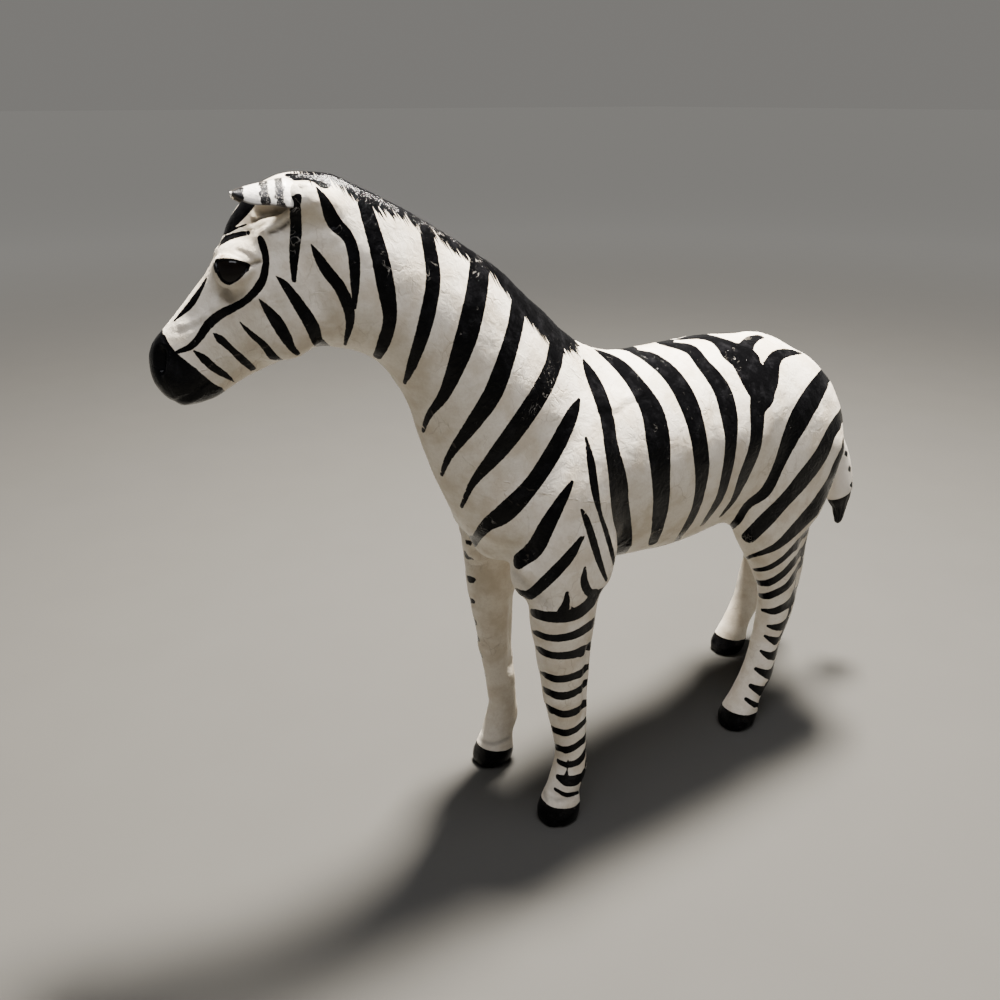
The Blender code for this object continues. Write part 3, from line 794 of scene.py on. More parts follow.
def paint_skin(skin, photograph, eye_inside):
    """Stores the painted pattern on the skin."""
    strokes = []
    for group in STROKE_GROUPS:
        for name, points in group.items():
            places, halves = photograph.stroke(points)
            if name in CARRIED:
                places, halves = photograph.carry_on(places, halves, CARRIED[name])
            if name in FORE_BANDS:
                places, halves = photograph.carry_on(places[::-1], halves[::-1], FORE_CARRY)
            strokes.append((places, halves))
            strokes += mirrored(photograph, places, halves)
    strokes += [photograph.stroke(points) for points in FAR_FORE_DABS.values()]
    places = places_of(skin)
    paint = stroke_field(places, strokes)
    for layer in (eye_inside, paint_muzzle(photograph, places), paint_hooves(places)):
        paint = np.maximum(paint, layer)
    mane, along = paint_mane(photograph, places)
    keep_value(skin, "paint", paint)
    for name, values in (("mane", mane), ("mane_along", along), ("seam", paint_seams(photograph, places)),
                         ("wear_and_highlight", paint_spots(photograph, places, WEAR_AND_HIGHLIGHT)),
                         ("speckled", paint_spots(photograph, places, SPECKLED)),
                         ("chipped", paint_spots(photograph, places, CHIPPED))):
        keep_value(skin, name, values)


# Fitted pieces. A leaf of leather is measured from its root, which sinks into the head.

EAR_LENGTH = 22
EAR_WIDTH = 14.5
EAR_CURL_RADIUS = 10
EAR_FACING = math.radians(45)
EAR_ROOT_DEPTH = 6
EAR_LEATHER = 1.1
EAR_ROOT_SINK = 4.5
EAR_ROOT_BEND = 3
EAR_ROWS = 44
EAR_COLUMNS = 28

TAIL_START = Vector((0, 197, 192))
TAIL_SLOPES = (math.radians(43), math.radians(89))
TAIL_DRIFT = 11
SKIRT_LENGTH = 88
TUFT_LENGTH = 21.5
TAIL_ROOT_RADIUS = 4.5
SKIRT_RADIUS = 8.2
TUFT_NECK_RADIUS = 3.7
TUFT_TIP_RADIUS = 2.2
TAIL_ROOT_DEPTH = 5
SKIRT_LEATHER = 0.9
# The skirt's edges lap by a share of its round, and the inner one is pressed in
LAP_ROUND = 1.07
LAP_SHARE = 0.14
LAP_SINK = 0.9
# The tuft starts inside the skirt
TUFT_HIDDEN = 5
# Round the tail the camera's side is at 0.63 and the right edge of its outline at -0.94 radians
SEAM_TURN = 0.63
RIM_TURN = -0.94
RIM_SLANT = 4.2
TAIL_STEPS = 60


def add_sheet(name, columns, rows):
    """A flat sheet divided into columns and rows, with its corners' shares across and along."""
    bpy.ops.object.select_all(action="DESELECT")
    bpy.ops.mesh.primitive_grid_add(x_subdivisions=columns, y_subdivisions=rows, size=2)
    sheet = bpy.context.object
    sheet.name = name
    shares = places_of(sheet)
    return sheet, shares[:, 0], (shares[:, 1] + 1) / 2


def make_ear(name, side):
    """A cut leaf of leather, curled along its length, with an uneven edge and a dark hollow side."""
    ear, across, along = add_sheet(name, EAR_COLUMNS, EAR_ROWS)
    reach = along * (EAR_LENGTH + EAR_ROOT_DEPTH) - EAR_ROOT_DEPTH
    share = np.clip(reach / EAR_LENGTH, 0, 0.985)
    half = EAR_WIDTH / 2 * (1 - 0.5 * share - 0.5 * share ** 5) * (1 + 0.04 * np.sin(reach / 2.1 + side))
    turn = EAR_FACING + across * half / EAR_CURL_RADIUS
    curl = EAR_CURL_RADIUS + 0.35 * np.sin(reach / 3.4) * across ** 2 - 0.5 * share * across ** 2
    curl = curl - EAR_ROOT_SINK * ease((EAR_ROOT_BEND - reach) / (EAR_ROOT_BEND + EAR_ROOT_DEPTH))
    root, tip = Vector(EAR_ROOT), Vector(EAR_TIP)
    spine = np.array(root) + np.outer(reach, np.array((tip - root).normalized()))
    x = spine[:, 0] + curl * np.cos(turn) - EAR_CURL_RADIUS * math.cos(EAR_FACING)
    z = spine[:, 2] + curl * np.sin(turn) - EAR_CURL_RADIUS * math.sin(EAR_FACING)
    z = z + 0.7 * share ** 3 - (RIGHT_EAR_DROP if side < 0 else 0)
    move_to(ear, bend(np.stack((side * x, spine[:, 1], z), 1)))
    keep_value(ear, "from_tip", EAR_LENGTH - reach)
    keep_value(ear, "to_edge", half * (1 - np.abs(across)))
    finish_sheet(ear, EAR_LEATHER)
    return ear


def finish_sheet(sheet, thickness):
    """Gives a shaped sheet its thickness and a soft cut edge."""
    finish_modifier(sheet, "SOLIDIFY", thickness=thickness * MM, offset=0)
    finish_modifier(sheet, "BEVEL", width=0.25 * thickness * MM, segments=2, limit_method="ANGLE")
    only(sheet)
    bpy.ops.object.mode_set(mode="EDIT")
    bpy.ops.mesh.select_all(action="SELECT")
    bpy.ops.mesh.normals_make_consistent(inside=False)
    bpy.ops.object.mode_set(mode="OBJECT")
    bpy.ops.object.shade_smooth_by_angle(angle=math.radians(50))


def tail_line(reach):
    """Middle of the tail at a reach from the rump's skin, and the direction it hangs in there."""
    whole = SKIRT_LENGTH + TUFT_LENGTH
    point, slope = TAIL_START.copy(), TAIL_SLOPES[0]
    way = Vector((0, math.cos(slope), -math.sin(slope)))
    if reach <= 0:
        return point + way * reach, way
    for step in range(TAIL_STEPS):
        part = reach / TAIL_STEPS
        share = ease((step + 0.5) * part / whole)
        slope = TAIL_SLOPES[0] + (TAIL_SLOPES[1] - TAIL_SLOPES[0]) * share
        way = Vector((0, math.cos(slope), -math.sin(slope)))
        point = point + way * part
    return point + Vector((TAIL_DRIFT * ease(reach / whole), 0, 0)), way


def tail_places(reaches, turns, radii):
    """Places round the tail's line, in metres."""
    known = {}
    places = []
    for reach, turn, radius in zip(reaches, turns, radii):
        key = round(float(reach), 4)
        if key not in known:
            known[key] = tail_line(key)
        middle, way = known[key]
        out = Vector((1, 0, 0)) * math.cos(turn) + way.cross(Vector((1, 0, 0))) * math.sin(turn)
        places.append((middle + out * radius + Vector(GRID_SHIFT)) * MM)
    return np.array(places)


def make_tail_skirt():
    """A strip of leather rolled into a cone that opens downwards, lapped along its inner side."""
    skirt, across, along = add_sheet("tail_skirt", 64, 60)
    reach = along * (SKIRT_LENGTH + TAIL_ROOT_DEPTH) - TAIL_ROOT_DEPTH
    share = np.clip(reach / SKIRT_LENGTH, 0, 1)
    radius = TAIL_ROOT_RADIUS + (SKIRT_RADIUS - TAIL_ROOT_RADIUS) * ease(share) - SKIRT_LEATHER / 2
    radius = radius - LAP_SINK * ease((-across - 1 + LAP_SHARE) / LAP_SHARE)
    radius = radius + 0.25 * np.sin(across * 9 + reach / 11) * ease(share * 2)
    turn = across * math.pi * LAP_ROUND + SEAM_TURN
    reach = reach - RIM_SLANT * np.cos(turn - RIM_TURN) * ease((share - 0.5) / 0.5)
    move_to(skirt, tail_places(reach, turn, radius))
    keep_value(skirt, "down", reach)
    keep_value(skirt, "round", turn)
    finish_sheet(skirt, SKIRT_LEATHER)
    return skirt


def make_tail_tuft():
    """The black end of the tail: a pad of fine leather strands that narrows downwards."""
    bpy.ops.object.select_all(action="DESELECT")
    bpy.ops.mesh.primitive_cylinder_add(vertices=72, radius=1, depth=2)
    tuft = bpy.context.object
    tuft.name = "tail_tuft"
    bpy.ops.object.mode_set(mode="EDIT")
    bpy.ops.mesh.select_all(action="DESELECT")
    bpy.ops.object.mode_set(mode="OBJECT")
    for edge in tuft.data.edges:
        low, high = (tuft.data.vertices[i].co.z for i in edge.vertices)
        edge.select = abs(low - high) > 1
    bpy.ops.object.mode_set(mode="EDIT")
    bpy.ops.mesh.select_mode(type="EDGE")
    bpy.ops.mesh.subdivide_edgering(number_cuts=30)
    bpy.ops.object.mode_set(mode="OBJECT")
    shares = places_of(tuft)
    turn = np.arctan2(shares[:, 1], shares[:, 0])
    down = (1 - shares[:, 2]) / 2
    start = SKIRT_LENGTH - TUFT_HIDDEN
    reach = start + (SKIRT_LENGTH + TUFT_LENGTH - start) * down
    share = np.clip((reach - SKIRT_LENGTH) / TUFT_LENGTH, 0, 1)
    wide = SKIRT_RADIUS - SKIRT_LEATHER
    radius = wide + (TUFT_NECK_RADIUS - wide) * ease(share / 0.62)
    radius = radius + (TUFT_TIP_RADIUS - TUFT_NECK_RADIUS) * ease((share - 0.5) / 0.5)
    strands = 0.22 * np.sin(turn * 11 + reach * 0.25) + 0.12 * np.sin(turn * 23 - reach * 0.4)
    radius = (radius + strands * ease(share * 4)) * np.sqrt(np.maximum(1 - (share / 1.01) ** 14, 0.02))
    reach = reach - RIM_SLANT * np.cos(turn - RIM_TURN) * (1 - ease(share * 1.6))
    move_to(tuft, tail_places(reach, turn, radius))
    only(tuft)
    bpy.ops.object.mode_set(mode="EDIT")
    bpy.ops.mesh.select_all(action="SELECT")
    bpy.ops.mesh.normals_make_consistent(inside=False)
    bpy.ops.object.mode_set(mode="OBJECT")
    bpy.ops.object.shade_smooth_by_angle(angle=math.radians(60))
    return tuft


def make_eye(name, side):
    """A polished glass ball."""
    x, y, z = EYE_CENTRE
    bpy.ops.object.select_all(action="DESELECT")
    bpy.ops.mesh.primitive_uv_sphere_add(segments=64, ring_count=40, radius=EYE_RADIUS * MM,
                                         location=Vector(bend((side * x, y, z))[0]),
                                         rotation=(0, math.radians(90), -NECK_TURN))
    bpy.ops.object.transform_apply(location=True, rotation=True, scale=True)
    eye = bpy.context.object
    eye.name = name
    bpy.ops.object.shade_smooth()
    return eye


# Materials. Patterns are scaled in millimetres, as new_material's coordinates are.

# Bands across the ear: distance of the middle from the tip and half width, in millimetres
EAR_BANDS = ((1.4, 3.5), (12.3, 1.6), (17.8, 1.5))

# Black dabs down the tail: their spacing and start in millimetres, and their turn in radians
DAB_SPACING = 10.4
DAB_RISE = 4
DAB_TURN = -0.2

# Glow of the backdrop and of the far ground
BACKDROP = 0.24

SMOOTH = {"interpolation_type": "SMOOTHSTEP"}


def linear(code):
    """Linear colour of an sRGB hex value."""
    parts = [int(code[i:i + 2], 16) / 255 for i in (0, 2, 4)]
    parts = [part / 12.92 if part <= 0.04045 else ((part + 0.055) / 1.055) ** 2.4 for part in parts]
    return (*parts, 1)


def add(tree, kind, **values):
    """Adds a node. Small letters name its settings, capitals or a number its inputs, set or linked."""
    node = tree.nodes.new("ShaderNode" + kind)
    for name, value in values.items():
        if name.islower():
            setattr(node, name, value)
            continue
        socket = node.inputs[int(name[1:]) if name[0] == "_" else name.replace("_", " ")]
        if isinstance(value, bpy.types.NodeSocket):
            tree.links.new(value, socket)
        else:
            socket.default_value = value
    return node.outputs


def new_material(name):
    """A material with an empty node tree, its shader and its coordinates in millimetres."""
    material = bpy.data.materials.new(name)
    material.use_nodes = True
    tree = material.node_tree
    shader = tree.nodes["Principled BSDF"]
    spots = add(tree, "TexCoord")["Object"]
    spots = add(tree, "Mapping", Vector=spots, Scale=(1 / MM, 1 / MM, 1 / MM))["Vector"]
    return material, tree, shader, spots


def set_shader(tree, shader, links=(), **values):
    """Sets the shader's own sockets and links."""
    for name, value in values.items():
        shader.inputs[name.replace("_", " ")].default_value = value
    for name, socket in dict(links).items():
        tree.links.new(socket, shader.inputs[name])


def black_parts(tree, spots):
    """Where the paint is black, which part of that is the mane, and the mane's hair strokes."""
    # The brush leaves an edge that wanders by a few tenths of a millimetre
    brush = add(tree, "TexNoise", Vector=spots, Scale=0.45, Detail=3, Roughness=0.6)["Fac"]
    brush = add(tree, "MapRange", Value=brush, To_Min=-0.3, To_Max=0.3)["Result"]
    paint = add(tree, "Attribute", attribute_name="paint")["Fac"]
    edge = add(tree, "Math", operation="ADD", _0=paint, _1=brush)["Value"]
    stripes = add(tree, "MapRange", **SMOOTH, Value=edge, From_Min=-0.12, From_Max=0.12)["Result"]
    # Hair strokes of the mane run down and back from the crest, about a millimetre apart
    mane = add(tree, "Attribute", attribute_name="mane")["Fac"]
    along = add(tree, "Attribute", attribute_name="mane_along")["Fac"]
    lean = add(tree, "Math", operation="MULTIPLY_ADD", _0=mane, _1=0.7, _2=along)["Value"]
    flat = add(tree, "Math", operation="MULTIPLY", _0=mane, _1=0.06)["Value"]
    hair_spots = add(tree, "CombineXYZ", X=lean, Y=flat)["Vector"]
    strand = add(tree, "TexNoise", Vector=hair_spots, Scale=0.95, Detail=4, Roughness=0.65)["Fac"]
    hair = add(tree, "MapRange", Value=strand,
               From_Min=0.3, From_Max=0.7, To_Min=-4.6, To_Max=2.0)["Result"]
    hair_edge = add(tree, "Math", operation="ADD", _0=mane, _1=hair)["Value"]
    mane_part = add(tree, "MapRange", **SMOOTH, Value=hair_edge, From_Min=-0.2, From_Max=0.35)["Result"]
    black_part = add(tree, "Math", operation="MAXIMUM", _0=stripes, _1=mane_part)["Value"]
    return black_part, mane_part, strand


def ivory_ground(tree, spots):
    """Colour of the ivory leather and its wrinkles."""
    # Ivory ground: cloudy, with a warmer tone where the varnish has pooled
    clouds = add(tree, "TexNoise", Vector=spots, Scale=0.07, Detail=5, Roughness=0.6)["Fac"]
    clouds = add(tree, "MapRange", **SMOOTH, Value=clouds, From_Min=0.38, From_Max=0.66)["Result"]
    ivory = add(tree, "MixRGB", Fac=clouds, Color1=linear("EFE7D8"), Color2=linear("D8CCB8"))["Color"]
    specks = add(tree, "TexNoise", Vector=spots, Scale=0.8, Detail=6, Roughness=0.7)["Fac"]
    specks = add(tree, "MapRange", Value=specks, From_Min=0.45, From_Max=0.75, To_Max=0.35)["Result"]
    ivory = add(tree, "MixRGB", Fac=specks, Color1=ivory, Color2=linear("C4B7A3"))["Color"]
    # Fine wrinkles, where the leather was pushed together, are drawn as darker lines
    warp = add(tree, "TexNoise", Vector=spots, Scale=0.12, Detail=3)["Color"]
    warped = add(tree, "VectorMath", operation="MULTIPLY_ADD", _0=warp, _1=(9, 9, 9), _2=spots)["Vector"]
    wrinkle_spots = add(tree, "Mapping", Vector=warped, Scale=(0.11, 0.16, 0.1))["Vector"]
    cells = add(tree, "TexVoronoi", feature="DISTANCE_TO_EDGE", Vector=wrinkle_spots,
                Scale=1.0)["Distance"]
    lines = add(tree, "MapRange", **SMOOTH, Value=cells, From_Max=0.05, To_Min=1, To_Max=0)["Result"]
    where = add(tree, "TexNoise", Vector=spots, Scale=0.05, Detail=2)["Fac"]
    where = add(tree, "MapRange", **SMOOTH, Value=where, From_Min=0.5, From_Max=0.68)["Result"]
    wrinkles = add(tree, "Math", operation="MULTIPLY", _0=lines, _1=where)["Value"]
    wrinkle_darkening = add(tree, "Math", operation="MULTIPLY", _0=wrinkles, _1=0.35)["Value"]
    ivory = add(tree, "MixRGB", Fac=wrinkle_darkening, Color1=ivory, Color2=linear("A08F7A"))["Color"]
    # Painted shade in the creases, black specks, and a chip down to the brown ground
    crease_shade = add(tree, "Attribute", attribute_name="crease_shade")["Fac"]
    ivory = add(tree, "MixRGB", Fac=crease_shade, Color1=ivory, Color2=linear("2A221C"))["Color"]
    dots = add(tree, "TexVoronoi", feature="F1", Vector=spots, Scale=0.9)["Distance"]
    dots = add(tree, "MapRange", **SMOOTH, Value=dots,
               From_Min=0.16, From_Max=0.24, To_Min=1, To_Max=0)["Result"]
    speckled = add(tree, "Attribute", attribute_name="speckled")["Fac"]
    dots = add(tree, "Math", operation="MULTIPLY", _0=dots, _1=speckled)["Value"]
    ivory = add(tree, "MixRGB", Fac=dots, Color1=ivory, Color2=linear("1C1815"))["Color"]
    chipped = add(tree, "Attribute", attribute_name="chipped")["Fac"]
    ivory = add(tree, "MixRGB", Fac=chipped, Color1=ivory, Color2=linear("6B4A30"))["Color"]
    return ivory, wrinkles


def black_paint(tree, spots):
    """Colour of the black paint."""
    # Black paint: dense, slightly greyed in clouds, and pale in threads at the listed places, partly worn
    # through and partly painted highlight
    wear = add(tree, "TexNoise", Vector=spots, Scale=0.16, Detail=6, Roughness=0.65)["Fac"]
    wear = add(tree, "MapRange", **SMOOTH, Value=wear, From_Min=0.45, From_Max=0.8)["Result"]
    black = add(tree, "MixRGB", Fac=wear, Color1=linear("060607"), Color2=linear("18181A"))["Color"]
    wear_and_highlight = add(tree, "Attribute", attribute_name="wear_and_highlight")["Fac"]
    threads = add(tree, "TexNoise", Vector=spots, Scale=0.2, Detail=1.5, Roughness=0.5, Distortion=1.2)["Fac"]
    threads = add(tree, "Math", operation="SUBTRACT", _0=threads, _1=0.5)["Value"]
    threads = add(tree, "Math", operation="ABSOLUTE", _0=threads)["Value"]
    threads = add(tree, "MapRange", **SMOOTH, Value=threads,
                  From_Min=0.004, From_Max=0.02, To_Min=1, To_Max=0)["Result"]
    patches = add(tree, "TexNoise", Vector=spots, Scale=0.2, Detail=3)["Fac"]
    patches = add(tree, "Math", operation="MULTIPLY_ADD", _0=wear_and_highlight, _1=0.55, _2=patches)["Value"]
    patches = add(tree, "MapRange", **SMOOTH, Value=patches, From_Min=0.62, From_Max=0.85)["Result"]
    worn_and_highlit = add(tree, "Math", operation="MULTIPLY", _0=threads, _1=patches)["Value"]
    black = add(tree, "MixRGB", Fac=worn_and_highlit, Color1=black, Color2=linear("8F8B85"))["Color"]
    return black


def painted_leather():
    """Thin ivory leather glued over the form, painted by brush and varnished."""
    material, tree, shader, spots = new_material("varnished_painted_leather")
    black_part, mane_part, strand = black_parts(tree, spots)
    ivory, wrinkles = ivory_ground(tree, spots)
    black = black_paint(tree, spots)
    colour = add(tree, "MixRGB", Fac=black_part, Color1=ivory, Color2=black)["Color"]
    # A join of the leather is a fine raised line, paler than the paint over it
    seam = add(tree, "Attribute", attribute_name="seam")["Fac"]
    seam = add(tree, "MapRange", **SMOOTH, Value=seam,
               From_Min=0.15, From_Max=0.7, To_Min=1, To_Max=0)["Result"]
    tint = add(tree, "Math", operation="MULTIPLY", _0=seam, _1=0.14)["Value"]
    colour = add(tree, "MixRGB", Fac=tint, Color1=colour, Color2=linear("8F8577"))["Color"]
    # Varnish: satin over the ivory, glossier over the black
    gloss = add(tree, "TexNoise", Vector=spots, Scale=0.1, Detail=4)["Fac"]
    ground_rough = add(tree, "MapRange", Value=gloss,
                       From_Min=0.3, From_Max=0.7, To_Min=0.3, To_Max=0.48)["Result"]
    rough = add(tree, "MixRGB", Fac=black_part, Color1=ground_rough, Color2=(0.13, 0.13, 0.13, 1))["Color"]
    # Relief of the leather: crumpled skin over a few millimetres and the fine grain
    crumple = add(tree, "TexNoise", Vector=spots, Scale=0.22, Detail=5, Roughness=0.62, Distortion=0.8)["Fac"]
    grain_part = add(tree, "MapRange", Value=black_part, To_Min=1, To_Max=0.15)["Result"]
    bump = add(tree, "Bump", Height=crumple, Strength=0.5, Distance=0.0009)["Normal"]
    bump = add(tree, "Bump", invert=True, Height=wrinkles, Normal=bump, Strength=0.5,
               Distance=0.0002)["Normal"]
    grain = add(tree, "TexNoise", Vector=spots, Scale=1.6, Detail=4, Roughness=0.6)["Fac"]
    bump = add(tree, "Bump", Height=grain, Normal=bump, Strength=grain_part, Distance=0.00005)["Normal"]
    bump = add(tree, "Bump", Height=seam, Normal=bump, Strength=0.6, Distance=0.0003)["Normal"]
    hairs = add(tree, "Math", operation="MULTIPLY", _0=mane_part, _1=0.9)["Value"]
    bump = add(tree, "Bump", Height=strand, Normal=bump, Strength=hairs, Distance=0.0004)["Normal"]
    # Black paint dried in small folds, which break its highlights up
    folds = add(tree, "TexNoise", Vector=spots, Scale=0.3, Detail=2, Roughness=0.5, Distortion=1.2)["Fac"]
    fold_part = add(tree, "Math", operation="MULTIPLY", _0=black_part, _1=0.4)["Value"]
    bump = add(tree, "Bump", Height=folds, Normal=bump, Strength=fold_part, Distance=0.0009)["Normal"]
    set_shader(tree, shader, {"Base Color": colour, "Roughness": rough, "Normal": bump},
               Specular_IOR_Level=0.12, Coat_Weight=0.02, Coat_Roughness=0.08)
    return material


def ear_leather():
    """Cut leather leaf: white with black bands across, worn through to grey."""
    material, tree, shader, spots = new_material("banded_ear_leather")
    from_tip = add(tree, "Attribute", attribute_name="from_tip")["Fac"]
    to_edge = add(tree, "Attribute", attribute_name="to_edge")["Fac"]
    brush = add(tree, "TexNoise", Vector=spots, Scale=0.5, Detail=4)["Fac"]
    brush = add(tree, "MapRange", Value=brush, To_Min=-1.6, To_Max=1.6)["Result"]
    line = add(tree, "Math", operation="ADD", _0=from_tip, _1=brush)["Value"]
    bands = None
    for middle, half in EAR_BANDS:
        away = add(tree, "Math", operation="SUBTRACT", _0=line, _1=middle)["Value"]
        away = add(tree, "Math", operation="ABSOLUTE", _0=away)["Value"]
        band = add(tree, "MapRange", **SMOOTH, Value=away,
                   From_Min=half - 0.2, From_Max=half + 0.2, To_Min=1, To_Max=0)["Result"]
        if bands is not None:
            band = add(tree, "Math", operation="MAXIMUM", _0=bands, _1=band)["Value"]
        bands = band
    cracks = add(tree, "TexNoise", Vector=spots, Scale=1.1, Detail=6, Roughness=0.7, Distortion=1.5)["Fac"]
    cracks = add(tree, "MapRange", **SMOOTH, Value=cracks, From_Min=0.56, From_Max=0.62)["Result"]
    grey = add(tree, "MixRGB", Fac=cracks, Color1=linear("0E0E10"), Color2=linear("B4AFA8"))["Color"]
    solid = add(tree, "MapRange", **SMOOTH, Value=line, From_Min=5, From_Max=6.5)["Result"]
    black = add(tree, "MixRGB", Fac=solid, Color1=linear("0D0D0F"), Color2=grey)["Color"]
    white = add(tree, "MixRGB", Fac=brush, Color1=linear("F3EFE7"), Color2=linear("DCD4C8"))["Color"]
    colour = add(tree, "MixRGB", Fac=bands, Color1=white, Color2=black)["Color"]
    # Painted shade: the leaf darkens within about a millimetre of its cut edges, where the edge's thickness
    # lies in shadow
    edge = add(tree, "MapRange", **SMOOTH, Value=to_edge,
               From_Min=0.2, From_Max=0.9, To_Min=0.8, To_Max=0)["Result"]
    colour = add(tree, "MixRGB", Fac=edge, Color1=colour, Color2=linear("4A443D"))["Color"]
    bare_tip = add(tree, "MapRange", **SMOOTH, Value=from_tip,
                   From_Min=0.5, From_Max=1.0, To_Min=1, To_Max=0)["Result"]
    colour = add(tree, "MixRGB", Fac=bare_tip, Color1=colour, Color2=linear("E8E2D8"))["Color"]
    crumple = add(tree, "TexNoise", Vector=spots, Scale=0.5, Detail=5, Roughness=0.6)["Fac"]
    bump = add(tree, "Bump", Height=crumple, Strength=0.6, Distance=0.0006)["Normal"]
    set_shader(tree, shader, {"Base Color": colour, "Normal": bump}, Roughness=0.3, Coat_Weight=0.05,
               Coat_Roughness=0.12, Specular_IOR_Level=0.25)
    return material


def tail_leather():
    """Rolled leather skirt of the tail: white, with a few black dabs down its back."""
    material, tree, shader, spots = new_material("dabbed_tail_leather")
    down = add(tree, "Attribute", attribute_name="down")["Fac"]
    turn = add(tree, "Attribute", attribute_name="round")["Fac"]
    down = add(tree, "Math", operation="ADD", _0=down, _1=DAB_RISE)["Value"]
    wave = add(tree, "Math", operation="MULTIPLY", _0=down, _1=2 * math.pi / DAB_SPACING)["Value"]
    wave = add(tree, "Math", operation="SINE", _0=wave)["Value"]
    away = add(tree, "Math", operation="SUBTRACT", _0=turn, _1=DAB_TURN)["Value"]
    away = add(tree, "Math", operation="ABSOLUTE", _0=away)["Value"]
    dabs = add(tree, "Math", operation="MULTIPLY_ADD", _0=away, _1=-3.0, _2=wave)["Value"]
    rough_edge = add(tree, "TexNoise", Vector=spots, Scale=0.6, Detail=3)["Fac"]
    dabs = add(tree, "Math", operation="ADD", _0=dabs, _1=rough_edge)["Value"]
    dabs = add(tree, "MapRange", **SMOOTH, Value=dabs, From_Min=0.72, From_Max=0.82)["Result"]
    clouds = add(tree, "TexNoise", Vector=spots, Scale=0.15, Detail=5)["Fac"]
    white = add(tree, "MixRGB", Fac=clouds, Color1=linear("EEE8DD"), Color2=linear("CFC6B8"))["Color"]
    colour = add(tree, "MixRGB", Fac=dabs, Color1=white, Color2=linear("101012"))["Color"]
    crumple = add(tree, "TexNoise", Vector=spots, Scale=0.3, Detail=5, Roughness=0.6)["Fac"]
    bump = add(tree, "Bump", Height=crumple, Strength=0.5, Distance=0.0006)["Normal"]
    set_shader(tree, shader, {"Base Color": colour, "Normal": bump}, Roughness=0.42,
               Specular_IOR_Level=0.25, Coat_Weight=0.05, Coat_Roughness=0.2)
    return material


def tuft_leather():
    """Black painted strands of the tail's end."""
    material, tree, shader, spots = new_material("black_tuft_leather")
    stretched = add(tree, "Mapping", Vector=spots, Scale=(1, 1, 0.12))["Vector"]
    strands = add(tree, "TexNoise", Vector=stretched, Scale=1.4, Detail=4)["Fac"]
    colour = add(tree, "MixRGB", Fac=strands, Color1=linear("080809"), Color2=linear("1C1C1F"))["Color"]
    bump = add(tree, "Bump", Height=strands, Strength=0.6, Distance=0.0005)["Normal"]
    set_shader(tree, shader, {"Base Color": colour, "Normal": bump}, Roughness=0.35,
               Specular_IOR_Level=0.18, Coat_Weight=0.03, Coat_Roughness=0.2)
    return material


def black_glass():
    """Polished black glass, with the faint brown depth of a cast ball."""
    material, tree, shader, spots = new_material("black_glass")
    swirl = add(tree, "TexNoise", Vector=spots, Scale=0.3, Detail=2)["Fac"]
    colour = add(tree, "MixRGB", Fac=swirl, Color1=linear("050506"), Color2=linear("17110D"))["Color"]
    ripple = add(tree, "TexNoise", Vector=spots, Scale=0.25, Detail=1)["Fac"]
    bump = add(tree, "Bump", Height=ripple, Strength=0.1, Distance=0.0001)["Normal"]
    set_shader(tree, shader, {"Base Color": colour, "Normal": bump}, Roughness=0.05, IOR=1.52,
               Specular_IOR_Level=0.2, Coat_Weight=0.0)
    return material


def floor_paper():
    """Pale studio paper that glows more strongly further out, with no lamp behind it, so that the ground
    fades into an even backdrop.
    """
    material, tree, shader, spots = new_material("pale_studio_paper")
    fibres = add(tree, "TexNoise", Vector=spots, Scale=0.02, Detail=4)["Fac"]
    colour = add(tree, "MixRGB", Fac=fibres, Color1=linear("4C4B48"), Color2=linear("494845"))["Color"]
    away = add(tree, "VectorMath", operation="LENGTH", _0=spots)["Value"]
    glow = add(tree, "MapRange", **SMOOTH, Value=away,
               From_Min=350, From_Max=2400, To_Min=0, To_Max=BACKDROP)["Result"]
    set_shader(tree, shader, {"Base Color": colour, "Emission Strength": glow}, Roughness=0.85,
               Specular_IOR_Level=0.2, Emission_Color=linear(STUDIO_LIGHT))
    return material


# Studio

# Place, size in metres, power in watts and colour of each lamp, and where the lamps aim
LAMPS = {
    "key_lamp": ((-0.15, 0.22, 1.15), 0.2, 120, "FFF8EE"),
    "top_fill": ((0.30, -0.20, 1.30), 0.7, 12, "F8F8FF"),
}
LAMP_AIM = Vector((0, 0, 0.17))
STUDIO_LIGHT = "EDEAE4"
FLOOR_SIZE = 60
FLOOR_BELOW = 0.0002


def add_lamp(name, place, size, power, colour):
    """A square lamp that faces the figure."""
    lamp = bpy.data.lights.new(name, "AREA")
    lamp.size = size
    lamp.energy = power
    lamp.color = linear(colour)[:3]
    thing = bpy.data.objects.new(name, lamp)
    bpy.context.scene.collection.objects.link(thing)
    thing.location = place
    thing.rotation_euler = (LAMP_AIM - Vector(place)).to_track_quat("-Z", "Y").to_euler()


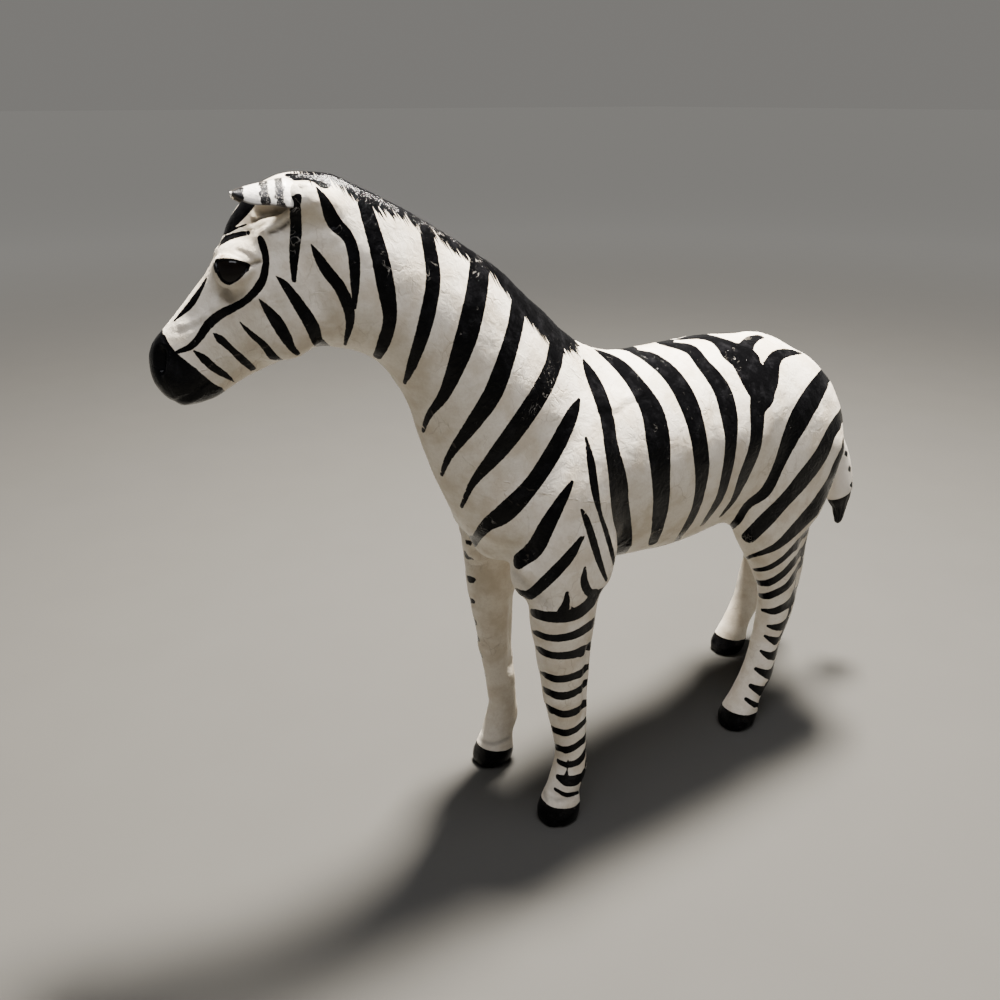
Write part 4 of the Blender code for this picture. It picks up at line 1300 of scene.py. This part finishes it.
def make_studio():
    """Pale floor, a high lamp beyond the figure, a soft fill from above and the camera."""
    bpy.ops.object.select_all(action="DESELECT")
    bpy.ops.mesh.primitive_plane_add(size=FLOOR_SIZE, location=(0, 0, -FLOOR_BELOW))
    floor = bpy.context.object
    floor.name = "studio_floor"
    bpy.ops.object.transform_apply(location=True, rotation=True, scale=True)
    floor.data.materials.append(floor_paper())
    world = bpy.data.worlds.new("studio")
    world.use_nodes = True
    tree = world.node_tree
    height = add(tree, "SeparateXYZ", Vector=add(tree, "TexCoord")["Generated"])["Z"]
    low = add(tree, "MapRange", **SMOOTH, Value=height,
              From_Min=0.08, From_Max=0.6, To_Min=BACKDROP, To_Max=0.05)["Result"]
    high = add(tree, "MapRange", **SMOOTH, Value=height,
               From_Min=0.6, From_Max=0.95, To_Min=0, To_Max=0.08)["Result"]
    glow = add(tree, "Math", operation="ADD", _0=low, _1=high)["Value"]
    tree.nodes["Background"].inputs["Color"].default_value = linear(STUDIO_LIGHT)
    tree.links.new(glow, tree.nodes["Background"].inputs["Strength"])
    bpy.context.scene.world = world
    for name, (place, size, power, colour) in LAMPS.items():
        add_lamp(name, place, size, power, colour)
    eye = bpy.data.cameras.new("photo_camera")
    eye.sensor_width = SENSOR
    eye.lens = SENSOR * FOCAL / IMAGE
    camera = bpy.data.objects.new("photo_camera", eye)
    bpy.context.scene.collection.objects.link(camera)
    right, up, forward = camera_axes()
    turn = Matrix((right, up, -forward)).transposed()
    camera.matrix_world = Matrix.Translation(CAMERA_PLACE) @ turn.to_4x4()
    bpy.context.scene.camera = camera


def dress(piece, material, node):
    """Gives a finished piece its material, hangs it on the root, and hides the solid it stands for."""
    piece.data.materials.clear()
    piece.data.materials.append(material)
    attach(piece, "root")
    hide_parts(node)


def main():
    """Builds and dresses the figurine, and sets up the studio."""
    skin = make_skin()
    rough_skin = Photograph(skin)
    shape_relief(skin, rough_skin)
    refine_tips(skin, Photograph(skin))
    eye_inside = shape_eyelids(skin)
    paint_skin(skin, Photograph(skin), eye_inside)
    only(skin)
    bpy.ops.object.shade_smooth()
    dress(skin, painted_leather(), "body")
    glass, ear_skin = black_glass(), ear_leather()
    for name, side in (("left", 1), ("right", -1)):
        dress(make_eye("glass_eye_" + name, side), glass, "eye_" + name)
        dress(make_ear("leaf_ear_" + name, side), ear_skin, "ear_" + name)
    dress(make_tail_skirt(), tail_leather(), "tail")
    dress(make_tail_tuft(), tuft_leather(), "tail")
    make_studio()


main()
